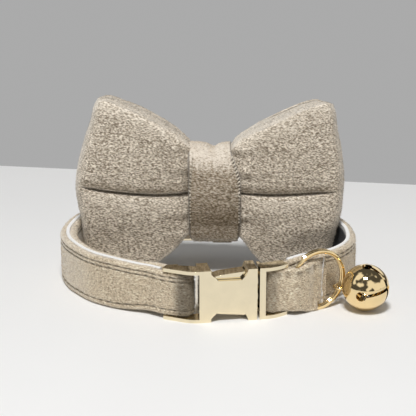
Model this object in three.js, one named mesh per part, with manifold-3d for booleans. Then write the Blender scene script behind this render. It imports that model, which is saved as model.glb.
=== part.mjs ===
// Pet bow tie collar: a velvet strap with a metal side-release buckle, a padded bow tie
// standing inside the loop, and a jingle bell on a split ring. Millimetres, +Z up, front at -Y.

import * as THREE from 'three';
import { mergeVertices } from 'three/addons/utils/BufferGeometryUtils.js';
import Module from 'manifold-3d';

const wasm = await Module();
wasm.setup();

// ---- driving sizes -------------------------------------------------------------------------

const GAP = 0.3;              // air kept between pieces that touch

const STRAP_THICK = 2.6;      // velvet over webbing
const STRAP_CHAMFER = 0.6;
const STRAP_WIDE = 17.2;      // height of the strap away from the buckle
const STRAP_NARROW = 14.9;    // height of the strap where the buckle's windows hold it
const LINING_THICK = 0.6;
const LINING_MARGIN = 1.4;    // the lining stops this far inside the strap's two edges

const BUCKLE_HEIGHT = 17.8;
const BUCKLE_YAW = 9.5;       // degrees, the right end lies further back
const BUCKLE_FRONT = { x: 6.7, y: -44.3 };
const BODY_LENGTH = 19.2;
const BODY_DEPTH = 8.4;
const PLATE_THICK = 1.4;
const ARM_HEIGHT = 1.2;
const BAR_RADIUS = 0.9;       // end bars inside the strap's folds
const WING_CURVE = 5;         // each wing curves back over this length and then runs straight
const SOCKET_WING = { bend: 33, length: 13, barAt: 10.2, foldTip: 3.5 };
const PLUG_WING = { bend: 28, length: 9, barAt: 7.2, foldTip: 0.6 };
const PLUG_GAP = 0.8;         // between the socket's mouth and the plug's cross bar
const CROSS_BAR = 2.05;
const WING_DEPTH = { root: 5.6, tip: 3.2 };
const FLAP_RECESS = 0.3;      // outer velvet behind the front edge of the arms
const FOLD_GAP = 5.0;         // between the mid-lines of two layers that pass an end bar

const KNOT = { x: 2.3, y: 3.5, halfWidth: 9.5, halfDepth: 8.8 };
const CREASE_Z = 29.5;
const CREASE_DEPTH = 3.2;
const CREASE_HALF_WIDTH = 4.6;

const RING = { x: 36.5, y: -33.2, z: 10.5, yaw: 28, radius: 9.95, wire: 1.0 };
const BELL = { radius: 7.85, wall: 0.7, slot: 1.1, hole: 1.7, holeAngle: 78, turn: 66, crimp: 0.12 };
const BELL_AXIS = new THREE.Vector3(0.85, -0.5, 0.13).normalize();
const EYELET = { radius: 2.0, wire: 0.5, wireAngle: -24, shift: 1.6 };
const PELLET_RADIUS = 2.1;

const SLIDER = { x: -5.8, length: 12.4, height: 20.2, bar: 1.5 };
const ELASTIC = { x: 5.2, width: 7, thick: 1.1 };

// ---- materials -----------------------------------------------------------------------------

const velvet = new THREE.MeshStandardMaterial({ color: 0xa8987f, roughness: 0.95, metalness: 0 });
const webbing = new THREE.MeshStandardMaterial({ color: 0x4a4a48, roughness: 0.9, metalness: 0 });
const gold = new THREE.MeshStandardMaterial({ color: 0xe0cfa0, roughness: 0.18, metalness: 1 });
const elastic = new THREE.MeshStandardMaterial({ color: 0x9a8c76, roughness: 0.9, metalness: 0 });

// ---- general shapes ------------------------------------------------------------------------

const radians = THREE.MathUtils.degToRad;

// A closed skin over rings of equal point counts, with a fan over each end.
function loft(rings) {
  const count = rings[0].length;
  const positions = [];
  const indices = [];
  for (const ring of rings) {
    for (const point of ring) {
      positions.push(point.x, point.y, point.z);
    }
  }
  for (let row = 0; row < rings.length - 1; row += 1) {
    for (let i = 0; i < count; i += 1) {
      const a = row * count + i;
      const b = row * count + (i + 1) % count;
      indices.push(a, b, b + count, a, b + count, a + count);
    }
  }
  for (const [row, flip] of [[0, true], [rings.length - 1, false]]) {
    const centre = new THREE.Vector3();
    for (const point of rings[row]) {
      centre.addScaledVector(point, 1 / count);
    }
    const middle = positions.length / 3;
    positions.push(centre.x, centre.y, centre.z);
    for (let i = 0; i < count; i += 1) {
      const a = row * count + i;
      const b = row * count + (i + 1) % count;
      indices.push(middle, flip ? b : a, flip ? a : b);
    }
  }
  const geometry = new THREE.BufferGeometry();
  geometry.setAttribute('position', new THREE.Float32BufferAttribute(positions, 3));
  geometry.setIndex(indices);
  return facingOut(geometry);
}

// Turns the faces round when the enclosed volume comes out negative.
function facingOut(geometry) {
  const at = geometry.attributes.position;
  const index = geometry.index;
  const [a, b, c] = [new THREE.Vector3(), new THREE.Vector3(), new THREE.Vector3()];
  let volume = 0;
  for (let i = 0; i < index.count; i += 3) {
    a.fromBufferAttribute(at, index.getX(i));
    b.fromBufferAttribute(at, index.getX(i + 1));
    c.fromBufferAttribute(at, index.getX(i + 2));
    volume += a.dot(b.cross(c));
  }
  if (volume < 0) {
    for (let i = 0; i < index.count; i += 3) {
      const first = index.getX(i);
      index.setX(i, index.getX(i + 2));
      index.setX(i + 2, first);
    }
  }
  return geometry;
}

function toManifold(geometry) {
  const bare = new THREE.BufferGeometry();
  bare.setAttribute('position', geometry.attributes.position.clone());
  if (geometry.index) {
    bare.setIndex(geometry.index.clone());
  }
  const merged = mergeVertices(bare, 1e-4);
  const mesh = new wasm.Mesh({
    numProp: 3,
    vertProperties: new Float32Array(merged.attributes.position.array),
    triVerts: new Uint32Array(merged.index.array),
  });
  return new wasm.Manifold(mesh);
}

function fromManifold(solid) {
  const mesh = solid.getMesh();
  const geometry = new THREE.BufferGeometry();
  geometry.setAttribute('position', new THREE.BufferAttribute(new Float32Array(mesh.vertProperties), 3));
  geometry.setIndex(new THREE.BufferAttribute(new Uint32Array(mesh.triVerts), 1));
  return geometry;
}

function unite(geometries) {
  return fromManifold(geometries.map(toManifold).reduce((whole, next) => whole.add(next)));
}

function cutFrom(geometry, tools) {
  return fromManifold(tools.map(toManifold).reduce((rest, tool) => rest.subtract(tool), toManifold(geometry)));
}

function box(x0, x1, y0, y1, z0, z1) {
  const geometry = new THREE.BoxGeometry(x1 - x0, y1 - y0, z1 - z0);
  return geometry.translate((x0 + x1) / 2, (y0 + y1) / 2, (z0 + z1) / 2);
}

// A plan outline raised from z0 to z1.
function raised(outline, z0, z1) {
  const shape = new THREE.Shape(outline.map(([x, y]) => new THREE.Vector2(x, y)));
  const geometry = new THREE.ExtrudeGeometry(shape, { depth: z1 - z0, bevelEnabled: false });
  return geometry.translate(0, 0, z0);
}

// An outline in the XZ plane, given depth from y0 to y1.
function plate(outline, y0, y1, holes = []) {
  const shape = new THREE.Shape(outline.map(([x, z]) => new THREE.Vector2(x, z)));
  for (const hole of holes) {
    shape.holes.push(new THREE.Path(hole.map(([x, z]) => new THREE.Vector2(x, z))));
  }
  const geometry = new THREE.ExtrudeGeometry(shape, { depth: y1 - y0, bevelEnabled: false });
  return geometry.rotateX(Math.PI / 2).translate(0, y1, 0);
}

// A turned solid: [radius, height] rows about the Z axis.
function turned(rows, segments) {
  return new THREE.LatheGeometry(rows.map(([r, h]) => new THREE.Vector2(r, h)), segments).rotateX(Math.PI / 2);
}

// Turns a piece made along +Z so that it runs along the given direction from a point.
function aimed(geometry, direction, origin) {
  const turn = new THREE.Quaternion().setFromUnitVectors(new THREE.Vector3(0, 0, 1), direction);
  return geometry.applyQuaternion(turn).translate(origin.x, origin.y, origin.z);
}

// ---- the buckle's frame in plan ------------------------------------------------------------

// Buckle pieces are made with x along the front plate and y going back, then turned into place.
function placeBuckle(geometry) {
  return geometry.rotateZ(radians(BUCKLE_YAW)).translate(BUCKLE_FRONT.x, BUCKLE_FRONT.y, 0);
}

const SOCKET_ROOT = -BODY_LENGTH / 2;
const CROSS_BAR_START = BODY_LENGTH / 2 + PLUG_GAP;
const PLUG_ROOT = CROSS_BAR_START + CROSS_BAR;

// A point beside the buckle: side -1 is the socket's wing and +1 the plug's, `along` is the
// distance out along the wing and `depth` the distance behind its front edge.
function wingPoint(side, along, depth) {
  const bend = radians(side < 0 ? SOCKET_WING.bend : PLUG_WING.bend);
  const root = side < 0 ? SOCKET_ROOT : PLUG_ROOT;
  const radius = WING_CURVE / bend;
  const heading = bend * THREE.MathUtils.clamp(along / WING_CURVE, 0, 1);
  const straight = along - heading * radius;
  const out = (radius - depth) * Math.sin(heading) + straight * Math.cos(heading);
  const back = radius - (radius - depth) * Math.cos(heading) + straight * Math.sin(heading);
  return [root + side * out, back];
}

function inLoopFrame([x, y]) {
  const turn = radians(BUCKLE_YAW);
  return {
    x: BUCKLE_FRONT.x + x * Math.cos(turn) - y * Math.sin(turn),
    y: BUCKLE_FRONT.y + x * Math.sin(turn) + y * Math.cos(turn),
  };
}

// ---- the strap's route ---------------------------------------------------------------------

const OUTER_LAYER = FLAP_RECESS + STRAP_THICK / 2;
const INNER_LAYER = OUTER_LAYER + FOLD_GAP;
const FOLD_OUTER = FOLD_GAP / 2 + STRAP_THICK / 2;
const PLUG_FOLD_AT = PLUG_WING.foldTip + FOLD_OUTER;
const SOCKET_FOLD_AT = SOCKET_WING.foldTip + FOLD_OUTER;

const inBuckle = (side, along, depth) => ({ ...inLoopFrame(wingPoint(side, along, depth)), lift: 0 });

// Mid-line of the loop from the plug round the back to the socket. `lift` is the height of the
// strap's lower edge above the surface.
const LOOP = [
  { ...inBuckle(1, PLUG_FOLD_AT, INNER_LAYER) },
  { ...inBuckle(1, PLUG_WING.length, INNER_LAYER) },
  { x: 27.5, y: -30.2, lift: 0 },
  { x: 33.0, y: -27.8, lift: 0 },
  { x: 38.5, y: -25.2, lift: 0 },
  { x: 43.3, y: -21.7, lift: 0 },
  { x: 47.3, y: -16.5, lift: 0 },
  { x: 49.8, y: -10.0, lift: 0 },
  { x: 50.5, y: -3.0, lift: 0 },
  { x: 49.9, y: 2.8, lift: 0.5 },
  { x: 47.0, y: 9.0, lift: 1.6 },
  { x: 41.0, y: 14.0, lift: 3.4 },
  { x: 32.0, y: 17.4, lift: 5.8 },
  { x: 20.0, y: 18.7, lift: 8.0 },
  { x: 5.0, y: 19.0, lift: 9.2 },
  { x: -12.0, y: 19.2, lift: 8.8 },
  { x: -28.0, y: 18.8, lift: 6.6 },
  { x: -40.0, y: 16.8, lift: 3.8 },
  { x: -47.2, y: 12.2, lift: 1.8 },
  { x: -50.3, y: 5.5, lift: 0.6 },
  { x: -50.8, y: -2.0, lift: 0 },
  { x: -49.0, y: -10.2, lift: 0 },
  { x: -45.0, y: -18.2, lift: 0 },
  { x: -39.3, y: -25.6, lift: 0 },
  { x: -33.0, y: -30.8, lift: 0 },
  { x: -26.0, y: -34.7, lift: 0 },
  { x: -19.5, y: -37.2, lift: 0 },
  { ...inBuckle(-1, SOCKET_WING.length, OUTER_LAYER) },
  { ...inBuckle(-1, SOCKET_FOLD_AT, OUTER_LAYER) },
];

const loopCurve = new THREE.CatmullRomCurve3(
  LOOP.map(({ x, y, lift }) => new THREE.Vector3(x, y, lift)), false, 'centripetal');
loopCurve.arcLengthDivisions = 1200;
const LOOP_LENGTH = loopCurve.getLength();

// The strap is pressed narrow in the buckle's windows and widens over this distance.
const NARROW_END = { plug: 7.5, socket: 9.5, fade: 7 };

function strapHeight(distance) {
  const fromPlug = distance - NARROW_END.plug;
  const fromSocket = LOOP_LENGTH - distance - NARROW_END.socket;
  const blend = THREE.MathUtils.smoothstep(Math.min(fromPlug, fromSocket), 0, NARROW_END.fade);
  return THREE.MathUtils.lerp(STRAP_NARROW, STRAP_WIDE, blend);
}

// A place on the loop's mid-line moved `outward` (negative is towards the neck).
function station(distance, outward = 0) {
  const u = THREE.MathUtils.clamp(distance / LOOP_LENGTH, 0, 1);
  const at = loopCurve.getPointAt(u);
  const along = loopCurve.getTangentAt(u);
  const out = new THREE.Vector2(along.y, -along.x).normalize();
  const height = strapHeight(distance);
  const bottom = Math.max(at.z, 0) + (STRAP_WIDE - height) / 2 * (STRAP_WIDE / BUCKLE_HEIGHT)
    + (BUCKLE_HEIGHT - STRAP_WIDE) / 2 * (STRAP_WIDE - height) / (STRAP_WIDE - STRAP_NARROW);
  return { x: at.x + out.x * outward, y: at.y + out.y * outward, bottom, height };
}

// Distance along the loop of the point nearest to a place in plan.
function distanceNear(x, y) {
  let best = { distance: 0, error: Infinity };
  for (let distance = 0; distance <= LOOP_LENGTH; distance += 0.25) {
    const at = station(distance);
    const error = Math.hypot(at.x - x, at.y - y);
    if (error < best.error) {
      best = { distance, error };
    }
  }
  return best.distance;
}

// A flat band that follows a list of stations, with chamfered edges.
function band(stations, thick, chamfer) {
  const rings = stations.map((here, i) => {
    const before = stations[Math.max(i - 1, 0)];
    const after = stations[Math.min(i + 1, stations.length - 1)];
    const side = new THREE.Vector2(after.y - before.y, before.x - after.x).normalize();
    const half = thick / 2;
    const top = here.bottom + here.height;
    const profile = [
      [-half, here.bottom + chamfer], [-half + chamfer, here.bottom],
      [half - chamfer, here.bottom], [half, here.bottom + chamfer],
      [half, top - chamfer], [half - chamfer, top],
      [-half + chamfer, top], [-half, top - chamfer],
    ];
    return profile.map(([out, z]) => new THREE.Vector3(here.x + side.x * out, here.y + side.y * out, z));
  });
  return loft(rings);
}

// Stations of a half turn from one layer to the next, leaving out both ends.
function foldStations(side, along, steps) {
  const turns = [];
  for (let i = 1; i < steps; i += 1) {
    const angle = Math.PI * i / steps;
    const depth = OUTER_LAYER + FOLD_GAP / 2 - Math.cos(angle) * FOLD_GAP / 2;
    const place = inLoopFrame(wingPoint(side, along - Math.sin(angle) * FOLD_GAP / 2, depth));
    turns.push({ ...place, bottom: (BUCKLE_HEIGHT - STRAP_NARROW) / 2, height: STRAP_NARROW });
  }
  return turns;
}

// How far the flap's mid-line stands outside the loop's: it rises over the split ring and comes
// down to the sewn end. `distance` runs from the plug's fold.
const FLAP = [
  { distance: 0, gap: 5.0 },
  { distance: 4, gap: 6.0 },
  { distance: 7.5, gap: 7.8 },
  { distance: 11, gap: 7.5 },
  { distance: 15.5, gap: 5.3 },
  { distance: 20.5, gap: 3.1 },
];

// How far the doubled inner layer stands inside the loop's mid-line, counted from the socket.
const LAYER_PITCH = STRAP_THICK + GAP;
const RETURN_NEAR_SOCKET = [
  { distance: 0, gap: 5.0 },
  { distance: 9, gap: 4.6 },
  { distance: 22, gap: LAYER_PITCH },
];

function between(rows, distance) {
  const next = rows.findIndex((row) => row.distance >= distance);
  if (next < 0) {
    return rows[rows.length - 1].gap;
  }
  if (next === 0) {
    return rows[0].gap;
  }
  const [a, b] = [rows[next - 1], rows[next]];
  return THREE.MathUtils.lerp(a.gap, b.gap, THREE.MathUtils.smoothstep(distance, a.distance, b.distance));
}

const SLIDER_AT = distanceNear(SLIDER.x, 19);
const SLIDER_GAP = SLIDER.bar + STRAP_THICK + 2 * GAP;
const RETURN_END = SLIDER_AT - 2.4;

function returnGap(distance) {
  const fromSocket = between(RETURN_NEAR_SOCKET, LOOP_LENGTH - distance);
  const atSlider = 1 - THREE.MathUtils.smoothstep(Math.abs(distance - SLIDER_AT), 5, 17);
  return Math.max(fromSocket, THREE.MathUtils.lerp(LAYER_PITCH, SLIDER_GAP, atSlider));
}

const STEP = 3.1;
const FLAP_STEP = 1.6;
const FOLD_STEPS = 8;

function steps(from, to, step) {
  const count = Math.ceil(Math.abs(to - from) / step);
  return Array.from({ length: count + 1 }, (_, i) => from + (to - from) * i / count);
}

const flapEnd = FLAP[FLAP.length - 1].distance;
const flapStations = steps(flapEnd, 0, FLAP_STEP).map((distance) => station(distance, between(FLAP, distance)));
const loopStations = steps(0, LOOP_LENGTH, STEP).map((distance) => station(distance));
const returnStations = steps(LOOP_LENGTH, RETURN_END, STEP)
  .map((distance) => station(distance, -returnGap(distance)));

const liningFrom = 9;
const liningTo = SLIDER_AT - SLIDER.length / 2 - 1;
const liningStations = steps(liningFrom, liningTo, STEP).map((distance) => {
  const at = station(distance, -(STRAP_THICK / 2 + GAP + LINING_THICK / 2));
  return { ...at, bottom: at.bottom + LINING_MARGIN, height: at.height - 2 * LINING_MARGIN };
});

// ---- split ring ----------------------------------------------------------------------------

const ringCentre = new THREE.Vector3(RING.x, RING.y, RING.z);
const ringAlong = new THREE.Vector3(Math.cos(radians(RING.yaw)), Math.sin(radians(RING.yaw)), 0);
const ringNormal = new THREE.Vector3(-ringAlong.y, ringAlong.x, 0);

// Two turns of wire side by side, or the channel that clears them.
function ringSolid(clearance) {
  const halfWire = RING.wire / 2 + clearance;
  const halfPair = RING.wire + clearance;
  const corner = RING.wire * 0.25;
  const profile = [
    [RING.radius - halfWire, -halfPair + corner], [RING.radius - halfWire + corner, -halfPair],
    [RING.radius + halfWire - corner, -halfPair], [RING.radius + halfWire, -halfPair + corner],
    [RING.radius + halfWire, halfPair - corner], [RING.radius + halfWire - corner, halfPair],
    [RING.radius - halfWire + corner, halfPair], [RING.radius - halfWire, halfPair - corner],
    [RING.radius - halfWire, -halfPair + corner],
  ];
  return aimed(turned(profile, 40), ringNormal, ringCentre);
}

// ---- strap pieces --------------------------------------------------------------------------

function strapSolid() {
  const route = [
    ...flapStations,
    ...foldStations(1, PLUG_FOLD_AT, FOLD_STEPS),
    ...loopStations,
    ...foldStations(-1, SOCKET_FOLD_AT, FOLD_STEPS),
    ...returnStations,
  ];
  return cutFrom(band(route, STRAP_THICK, STRAP_CHAMFER), [ringSolid(GAP)]);
}

function liningSolid() {
  return band(liningStations, LINING_THICK, LINING_THICK / 4);
}

// ---- buckle --------------------------------------------------------------------------------

// Cut-outs in both edges of the socket's plates, measured from the plate's left end and edge.
const CUT_OUT = [
  { x: 3.9, inset: -1 },
  { x: 3.9, inset: 1.2 },
  { x: 6.3, inset: 3.6 },
  { x: 14.0, inset: 3.7 },
  { x: 15.6, inset: 1.8 },
  { x: 16.6, inset: -1 },
];

function cutOutline(edge) {
  return CUT_OUT.map(({ x, inset }) => [SOCKET_ROOT + x, edge > 0 ? BUCKLE_HEIGHT - inset : inset]);
}

// Arms of a wing, bent back from the body, with the end bar that the strap folds round.
function wing(side, spec, rootOverlap) {
  const tip = spec.length;
  const inner = wingPoint(side, 0, WING_DEPTH.root);
  const bends = [0.25, 0.5, 0.75, 1].map((part) => part * WING_CURVE);
  const outline = [
    [inner[0] - side * rootOverlap, inner[1]],
    ...bends.map((along) => wingPoint(side, along, WING_DEPTH.root)),
    wingPoint(side, tip - 0.8, WING_DEPTH.tip + 0.6),
    wingPoint(side, tip, WING_DEPTH.tip),
    wingPoint(side, tip, 0.5),
    wingPoint(side, tip - 0.5, 0),
    ...bends.reverse().map((along) => wingPoint(side, along, 0)),
    [inner[0], 0],
    [inner[0] - side * rootOverlap, 0],
  ];
  const ordered = side > 0 ? outline.reverse() : outline;
  const bar = new THREE.CylinderGeometry(BAR_RADIUS, BAR_RADIUS, BUCKLE_HEIGHT - ARM_HEIGHT, 12);
  const [barX, barY] = wingPoint(side, spec.barAt, OUTER_LAYER + FOLD_GAP / 2);
  const lug = (z0, z1) => {
    const reach = wingPoint(side, spec.barAt, OUTER_LAYER);
    return box(Math.min(reach[0], barX) - 1.1, Math.max(reach[0], barX) + 1.1,
      Math.min(reach[1], barY) - 0.4, Math.max(reach[1], barY) + 1.1, z0, z1);
  };
  return [
    raised(ordered, 0, ARM_HEIGHT),
    raised(ordered, BUCKLE_HEIGHT - ARM_HEIGHT, BUCKLE_HEIGHT),
    lug(0.05, ARM_HEIGHT - 0.05),
    lug(BUCKLE_HEIGHT - ARM_HEIGHT + 0.05, BUCKLE_HEIGHT - 0.05),
    bar.rotateX(Math.PI / 2).translate(barX, barY, BUCKLE_HEIGHT / 2),
  ];
}

function socketSolid() {
  const left = SOCKET_ROOT;
  const right = -SOCKET_ROOT;
  const body = box(left, right, 0, BODY_DEPTH, 0, BUCKLE_HEIGHT);
  const pocket = box(left + 3.2, right + 1, PLATE_THICK, BODY_DEPTH - PLATE_THICK, 1.3, BUCKLE_HEIGHT - 1.3);
  const cuts = [1, -1].map((edge) => plate(cutOutline(edge), -1, BODY_DEPTH + 1));
  const hollow = cutFrom(body, [pocket, ...cuts]);
  return placeBuckle(unite([hollow, ...wing(-1, SOCKET_WING, 1.2)]));
}

// One release prong, lower edge first; the upper one is its mirror image.
const PRONG = [
  { x: 9.1, z: 2.1 },
  { x: 7.2, z: 2.3 },
  { x: 6.6, z: 1.6 },
  { x: 5.6, z: 0.9 },
  { x: -2.7, z: 0.5 },
  { x: -5.0, z: 1.3 },
  { x: -5.6, z: 2.6 },
  { x: -4.2, z: 3.3 },
  { x: 1.0, z: 3.6 },
  { x: 9.1, z: 4.9 },
];
const PRONG_ROOT = { low: 2.1, high: 4.9, depth: 4.5 };    // set back where it joins the cross bar
const CROSS_BAR_DEPTH = { face: 1.6, back: 7.0 };
const PRONG_DEPTH = { from: PLATE_THICK + GAP, to: BODY_DEPTH - PLATE_THICK - GAP };

function plugSolid() {
  const lower = PRONG.map(({ x, z }) => [x, z]);
  const upper = PRONG.map(({ x, z }) => [x, BUCKLE_HEIGHT - z]).reverse();
  const [guideLow, guideHigh] = [BUCKLE_HEIGHT / 2 - 1.3, BUCKLE_HEIGHT / 2 + 1.3];
  const guide = box(-2, 9.1, PRONG_DEPTH.from + 0.8, PRONG_DEPTH.to - 0.8, guideLow, guideHigh);
  const rootEnd = CROSS_BAR_START + 0.2;
  const root = (low, high) => box(8.9, rootEnd, PRONG_ROOT.depth, PRONG_DEPTH.to - 0.8, low, high);
  const crossBar = [
    [CROSS_BAR_START, 0],
    [PLUG_ROOT, 0],
    [PLUG_ROOT, CROSS_BAR_DEPTH.face],
    [PLUG_ROOT - CROSS_BAR / 2, CROSS_BAR_DEPTH.back],
    [CROSS_BAR_START, CROSS_BAR_DEPTH.back],
  ];
  const solids = [
    raised(crossBar, 0, BUCKLE_HEIGHT),
    plate(lower, PRONG_DEPTH.from, PRONG_DEPTH.to),
    plate(upper, PRONG_DEPTH.from, PRONG_DEPTH.to),
    guide,
    root(PRONG_ROOT.low, PRONG_ROOT.high),
    root(BUCKLE_HEIGHT - PRONG_ROOT.high, BUCKLE_HEIGHT - PRONG_ROOT.low),
    root(guideLow, guideHigh),
    ...wing(1, PLUG_WING, 0.6),
  ];
  return placeBuckle(unite(solids));
}

// ---- slider on the back strap --------------------------------------------------------------

function sliderSolid() {
  const here = station(SLIDER_AT);
  const ahead = station(SLIDER_AT + 1);
  const turn = Math.atan2(ahead.y - here.y, ahead.x - here.x);
  const half = SLIDER.length / 2;
  const outerFace = STRAP_THICK / 2 + GAP;
  const innerFace = -(STRAP_THICK / 2 + GAP);
  const z0 = -(SLIDER.height - here.height) / 2;
  const z1 = z0 + SLIDER.height;
  const rail = (low, high) => box(-half, half, innerFace - SLIDER.bar, outerFace + SLIDER.bar, low, high);
  const endBar = (x) => box(x, x + 1.8, outerFace, outerFace + SLIDER.bar, z0 + 0.1, z1 - 0.1);
  const solids = [
    rail(z0, z0 + 0.9),
    rail(z1 - 0.9, z1),
    endBar(-half),
    endBar(half - 1.8),
    box(-1, 1, innerFace - SLIDER.bar, innerFace, z0 + 0.1, z1 - 0.1),
  ];
  return unite(solids).rotateZ(turn + Math.PI).translate(here.x, here.y, here.bottom);
}

// ---- bell ----------------------------------------------------------------------------------

const wireAngle = radians(EYELET.wireAngle);
const eyeletCentre = ringCentre.clone()
  .addScaledVector(ringAlong, RING.radius * Math.cos(wireAngle))
  .add(new THREE.Vector3(0, 0, RING.radius * Math.sin(wireAngle)));
const bellCentre = eyeletCentre.clone().addScaledVector(BELL_AXIS, BELL.radius + EYELET.shift);
bellCentre.z = BELL.radius + BELL.crimp;

// A sphere about the origin with a raised crimp round its equator.
function bellSphere(radius, crimp) {
  const rows = [];
  const bands = 16;
  for (let i = 0; i <= bands; i += 1) {
    const angle = Math.PI * i / bands - Math.PI / 2;
    const swell = i === bands / 2 ? crimp : 0;
    rows.push([Math.max(0, (radius + swell) * Math.cos(angle)), radius * Math.sin(angle)]);
  }
  rows[0][0] = 0;
  rows[bands][0] = 0;
  return turned(rows, 24);
}

function bellSolid() {
  const reach = BELL.radius + 1;
  const slotLow = BELL.radius * Math.cos(radians(BELL.holeAngle));
  const cutters = [];
  for (const turn of [BELL.turn, BELL.turn + 90]) {
    const slot = box(-reach, reach, -BELL.slot / 2, BELL.slot / 2, slotLow, reach);
    cutters.push(slot.rotateZ(radians(turn)));
  }
  for (const turn of [0, 90, 180, 270].map((step) => BELL.turn + step)) {
    const hole = new THREE.CylinderGeometry(BELL.hole, BELL.hole, 5, 14);
    hole.rotateZ(Math.PI / 2).translate(BELL.radius, 0, 0);
    hole.rotateY(-radians(90 - BELL.holeAngle)).rotateZ(radians(turn));
    cutters.push(hole);
  }
  const shell = cutFrom(bellSphere(BELL.radius, BELL.crimp), [bellSphere(BELL.radius - BELL.wall, 0), ...cutters]);
  const eyelet = turned([
    [EYELET.radius - EYELET.wire, 0], [EYELET.radius, -EYELET.wire],
    [EYELET.radius + EYELET.wire, 0], [EYELET.radius, EYELET.wire],
    [EYELET.radius - EYELET.wire, 0],
  ], 20);
  const placed = aimed(shell, BELL_AXIS, bellCentre);
  return unite([placed, eyelet.translate(eyeletCentre.x, eyeletCentre.y, eyeletCentre.z)]);
}

function pelletSolid() {
  const ball = new THREE.SphereGeometry(PELLET_RADIUS, 14, 10);
  return ball.translate(bellCentre.x, bellCentre.y, BELL.wall + GAP + PELLET_RADIUS);
}

// ---- bow -----------------------------------------------------------------------------------

// Sections of a wing across the bow: place, upper and lower edge, half depth.
const LEFT_WING = [
  { x: -7.6, top: 46.0, bottom: 14.5, halfDepth: 5.4 },
  { x: -12.0, top: 50.2, bottom: 7.4, halfDepth: 6.4 },
  { x: -16.0, top: 52.3, bottom: 3.8, halfDepth: 7.2 },
  { x: -22.0, top: 55.6, bottom: 0.9, halfDepth: 7.8 },
  { x: -29.0, top: 59.4, bottom: 0.0, halfDepth: 7.6 },
  { x: -36.0, top: 63.2, bottom: 0.0, halfDepth: 6.6 },
  { x: -40.5, top: 62.0, bottom: 1.2, halfDepth: 5.4 },
  { x: -43.2, top: 56.0, bottom: 4.5, halfDepth: 4.4 },
  { x: -45.2, top: 50.0, bottom: 13.5, halfDepth: 3.4 },
  { x: -46.9, top: 42.0, bottom: 21.0, halfDepth: 2.4 },
  { x: -48.2, top: 34.0, bottom: 26.0, halfDepth: 1.2 },
];
const RIGHT_WING = [
  { x: 12.2, top: 46.5, bottom: 14.0, halfDepth: 5.4 },
  { x: 16.2, top: 51.6, bottom: 6.0, halfDepth: 6.6 },
  { x: 20.5, top: 54.2, bottom: 2.2, halfDepth: 7.4 },
  { x: 27.0, top: 57.4, bottom: 0.2, halfDepth: 7.8 },
  { x: 34.0, top: 60.2, bottom: 0.0, halfDepth: 7.2 },
  { x: 40.5, top: 62.0, bottom: 0.4, halfDepth: 5.8 },
  { x: 44.2, top: 60.4, bottom: 6.0, halfDepth: 4.2 },
  { x: 46.2, top: 56.4, bottom: 17.0, halfDepth: 3.0 },
  { x: 47.8, top: 48.6, bottom: 21.5, halfDepth: 2.2 },
  { x: 49.3, top: 40.0, bottom: 27.0, halfDepth: 1.2 },
];
const BOW_POINTS = 40;
const PILLOW_POWER = 0.75;    // below 1 the section is fuller than an ellipse

function bulge(value, power) {
  return Math.sign(value) * Math.abs(value) ** power;
}

function pillowSection({ x, top, bottom, halfDepth }) {
  const middle = (top + bottom) / 2;
  const half = (top - bottom) / 2;
  const points = [];
  for (let i = 0; i < BOW_POINTS; i += 1) {
    const angle = 2 * Math.PI * (i + 0.5) / BOW_POINTS;
    const across = bulge(Math.cos(angle), PILLOW_POWER);
    const up = bulge(Math.sin(angle), PILLOW_POWER);
    const z = middle + up * half;
    const nearCrease = Math.max(0, 1 - Math.abs(z - CREASE_Z) / CREASE_HALF_WIDTH);
    const dip = across < 0 ? Math.min(CREASE_DEPTH, halfDepth / 2) * nearCrease : 0;
    points.push(new THREE.Vector3(x, KNOT.y + across * halfDepth + dip, z));
  }
  return points;
}

function bowWing(rows) {
  return loft(rows.map(pillowSection));
}

// Rows of the knot from its lower edge to its upper one.
const KNOT_ROWS = [
  { z: 12.2, width: 0.86, depth: 0.45 },
  { z: 13.2, width: 0.95, depth: 0.76 },
  { z: 15.6, width: 0.98, depth: 0.94 },
  { z: 22.0, width: 1.0, depth: 1.0 },
  { z: 31.0, width: 1.0, depth: 1.0 },
  { z: 40.0, width: 0.94, depth: 0.98 },
  { z: 44.8, width: 0.88, depth: 0.86 },
  { z: 47.2, width: 0.85, depth: 0.62 },
  { z: 47.9, width: 0.8, depth: 0.35 },
];
const KNOT_POINTS = 20;
const KNOT_POWER = 0.4;

function knotSolid() {
  const rings = KNOT_ROWS.map(({ z, width, depth }) => {
    const points = [];
    for (let i = 0; i < KNOT_POINTS; i += 1) {
      const angle = 2 * Math.PI * (i + 0.5) / KNOT_POINTS;
      const across = bulge(Math.cos(angle), KNOT_POWER);
      const back = bulge(Math.sin(angle), KNOT_POWER);
      points.push(new THREE.Vector3(
        KNOT.x + across * KNOT.halfWidth * width, KNOT.y + back * KNOT.halfDepth * depth, z));
    }
    return points;
  });
  return loft(rings);
}

// The loop on the knot's back that the strap runs through.
function elasticSolid() {
  const here = station(distanceNear(ELASTIC.x, 19));
  const low = here.bottom - GAP - 0.3;
  const high = here.bottom + here.height + GAP + 0.3;
  const near = KNOT.y + KNOT.halfDepth + GAP;
  const far = here.y + STRAP_THICK / 2 + GAP + 0.3;
  const t = ELASTIC.thick;
  const outline = [[near, low - t], [far + t, low - t], [far + t, high + t], [near, high + t]];
  const hole = [[near + t, low], [near + t, high], [far, high], [far, low]];
  const ring = plate(outline, -ELASTIC.width / 2, ELASTIC.width / 2, [hole]);
  return ring.rotateZ(Math.PI / 2).translate(ELASTIC.x, 0, 0);
}

// ---- assembly ------------------------------------------------------------------------------

const group = new THREE.Group();

function addPiece(name, geometry, material) {
  const mesh = new THREE.Mesh(geometry, material);
  mesh.name = name;
  group.add(mesh);
}

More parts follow.
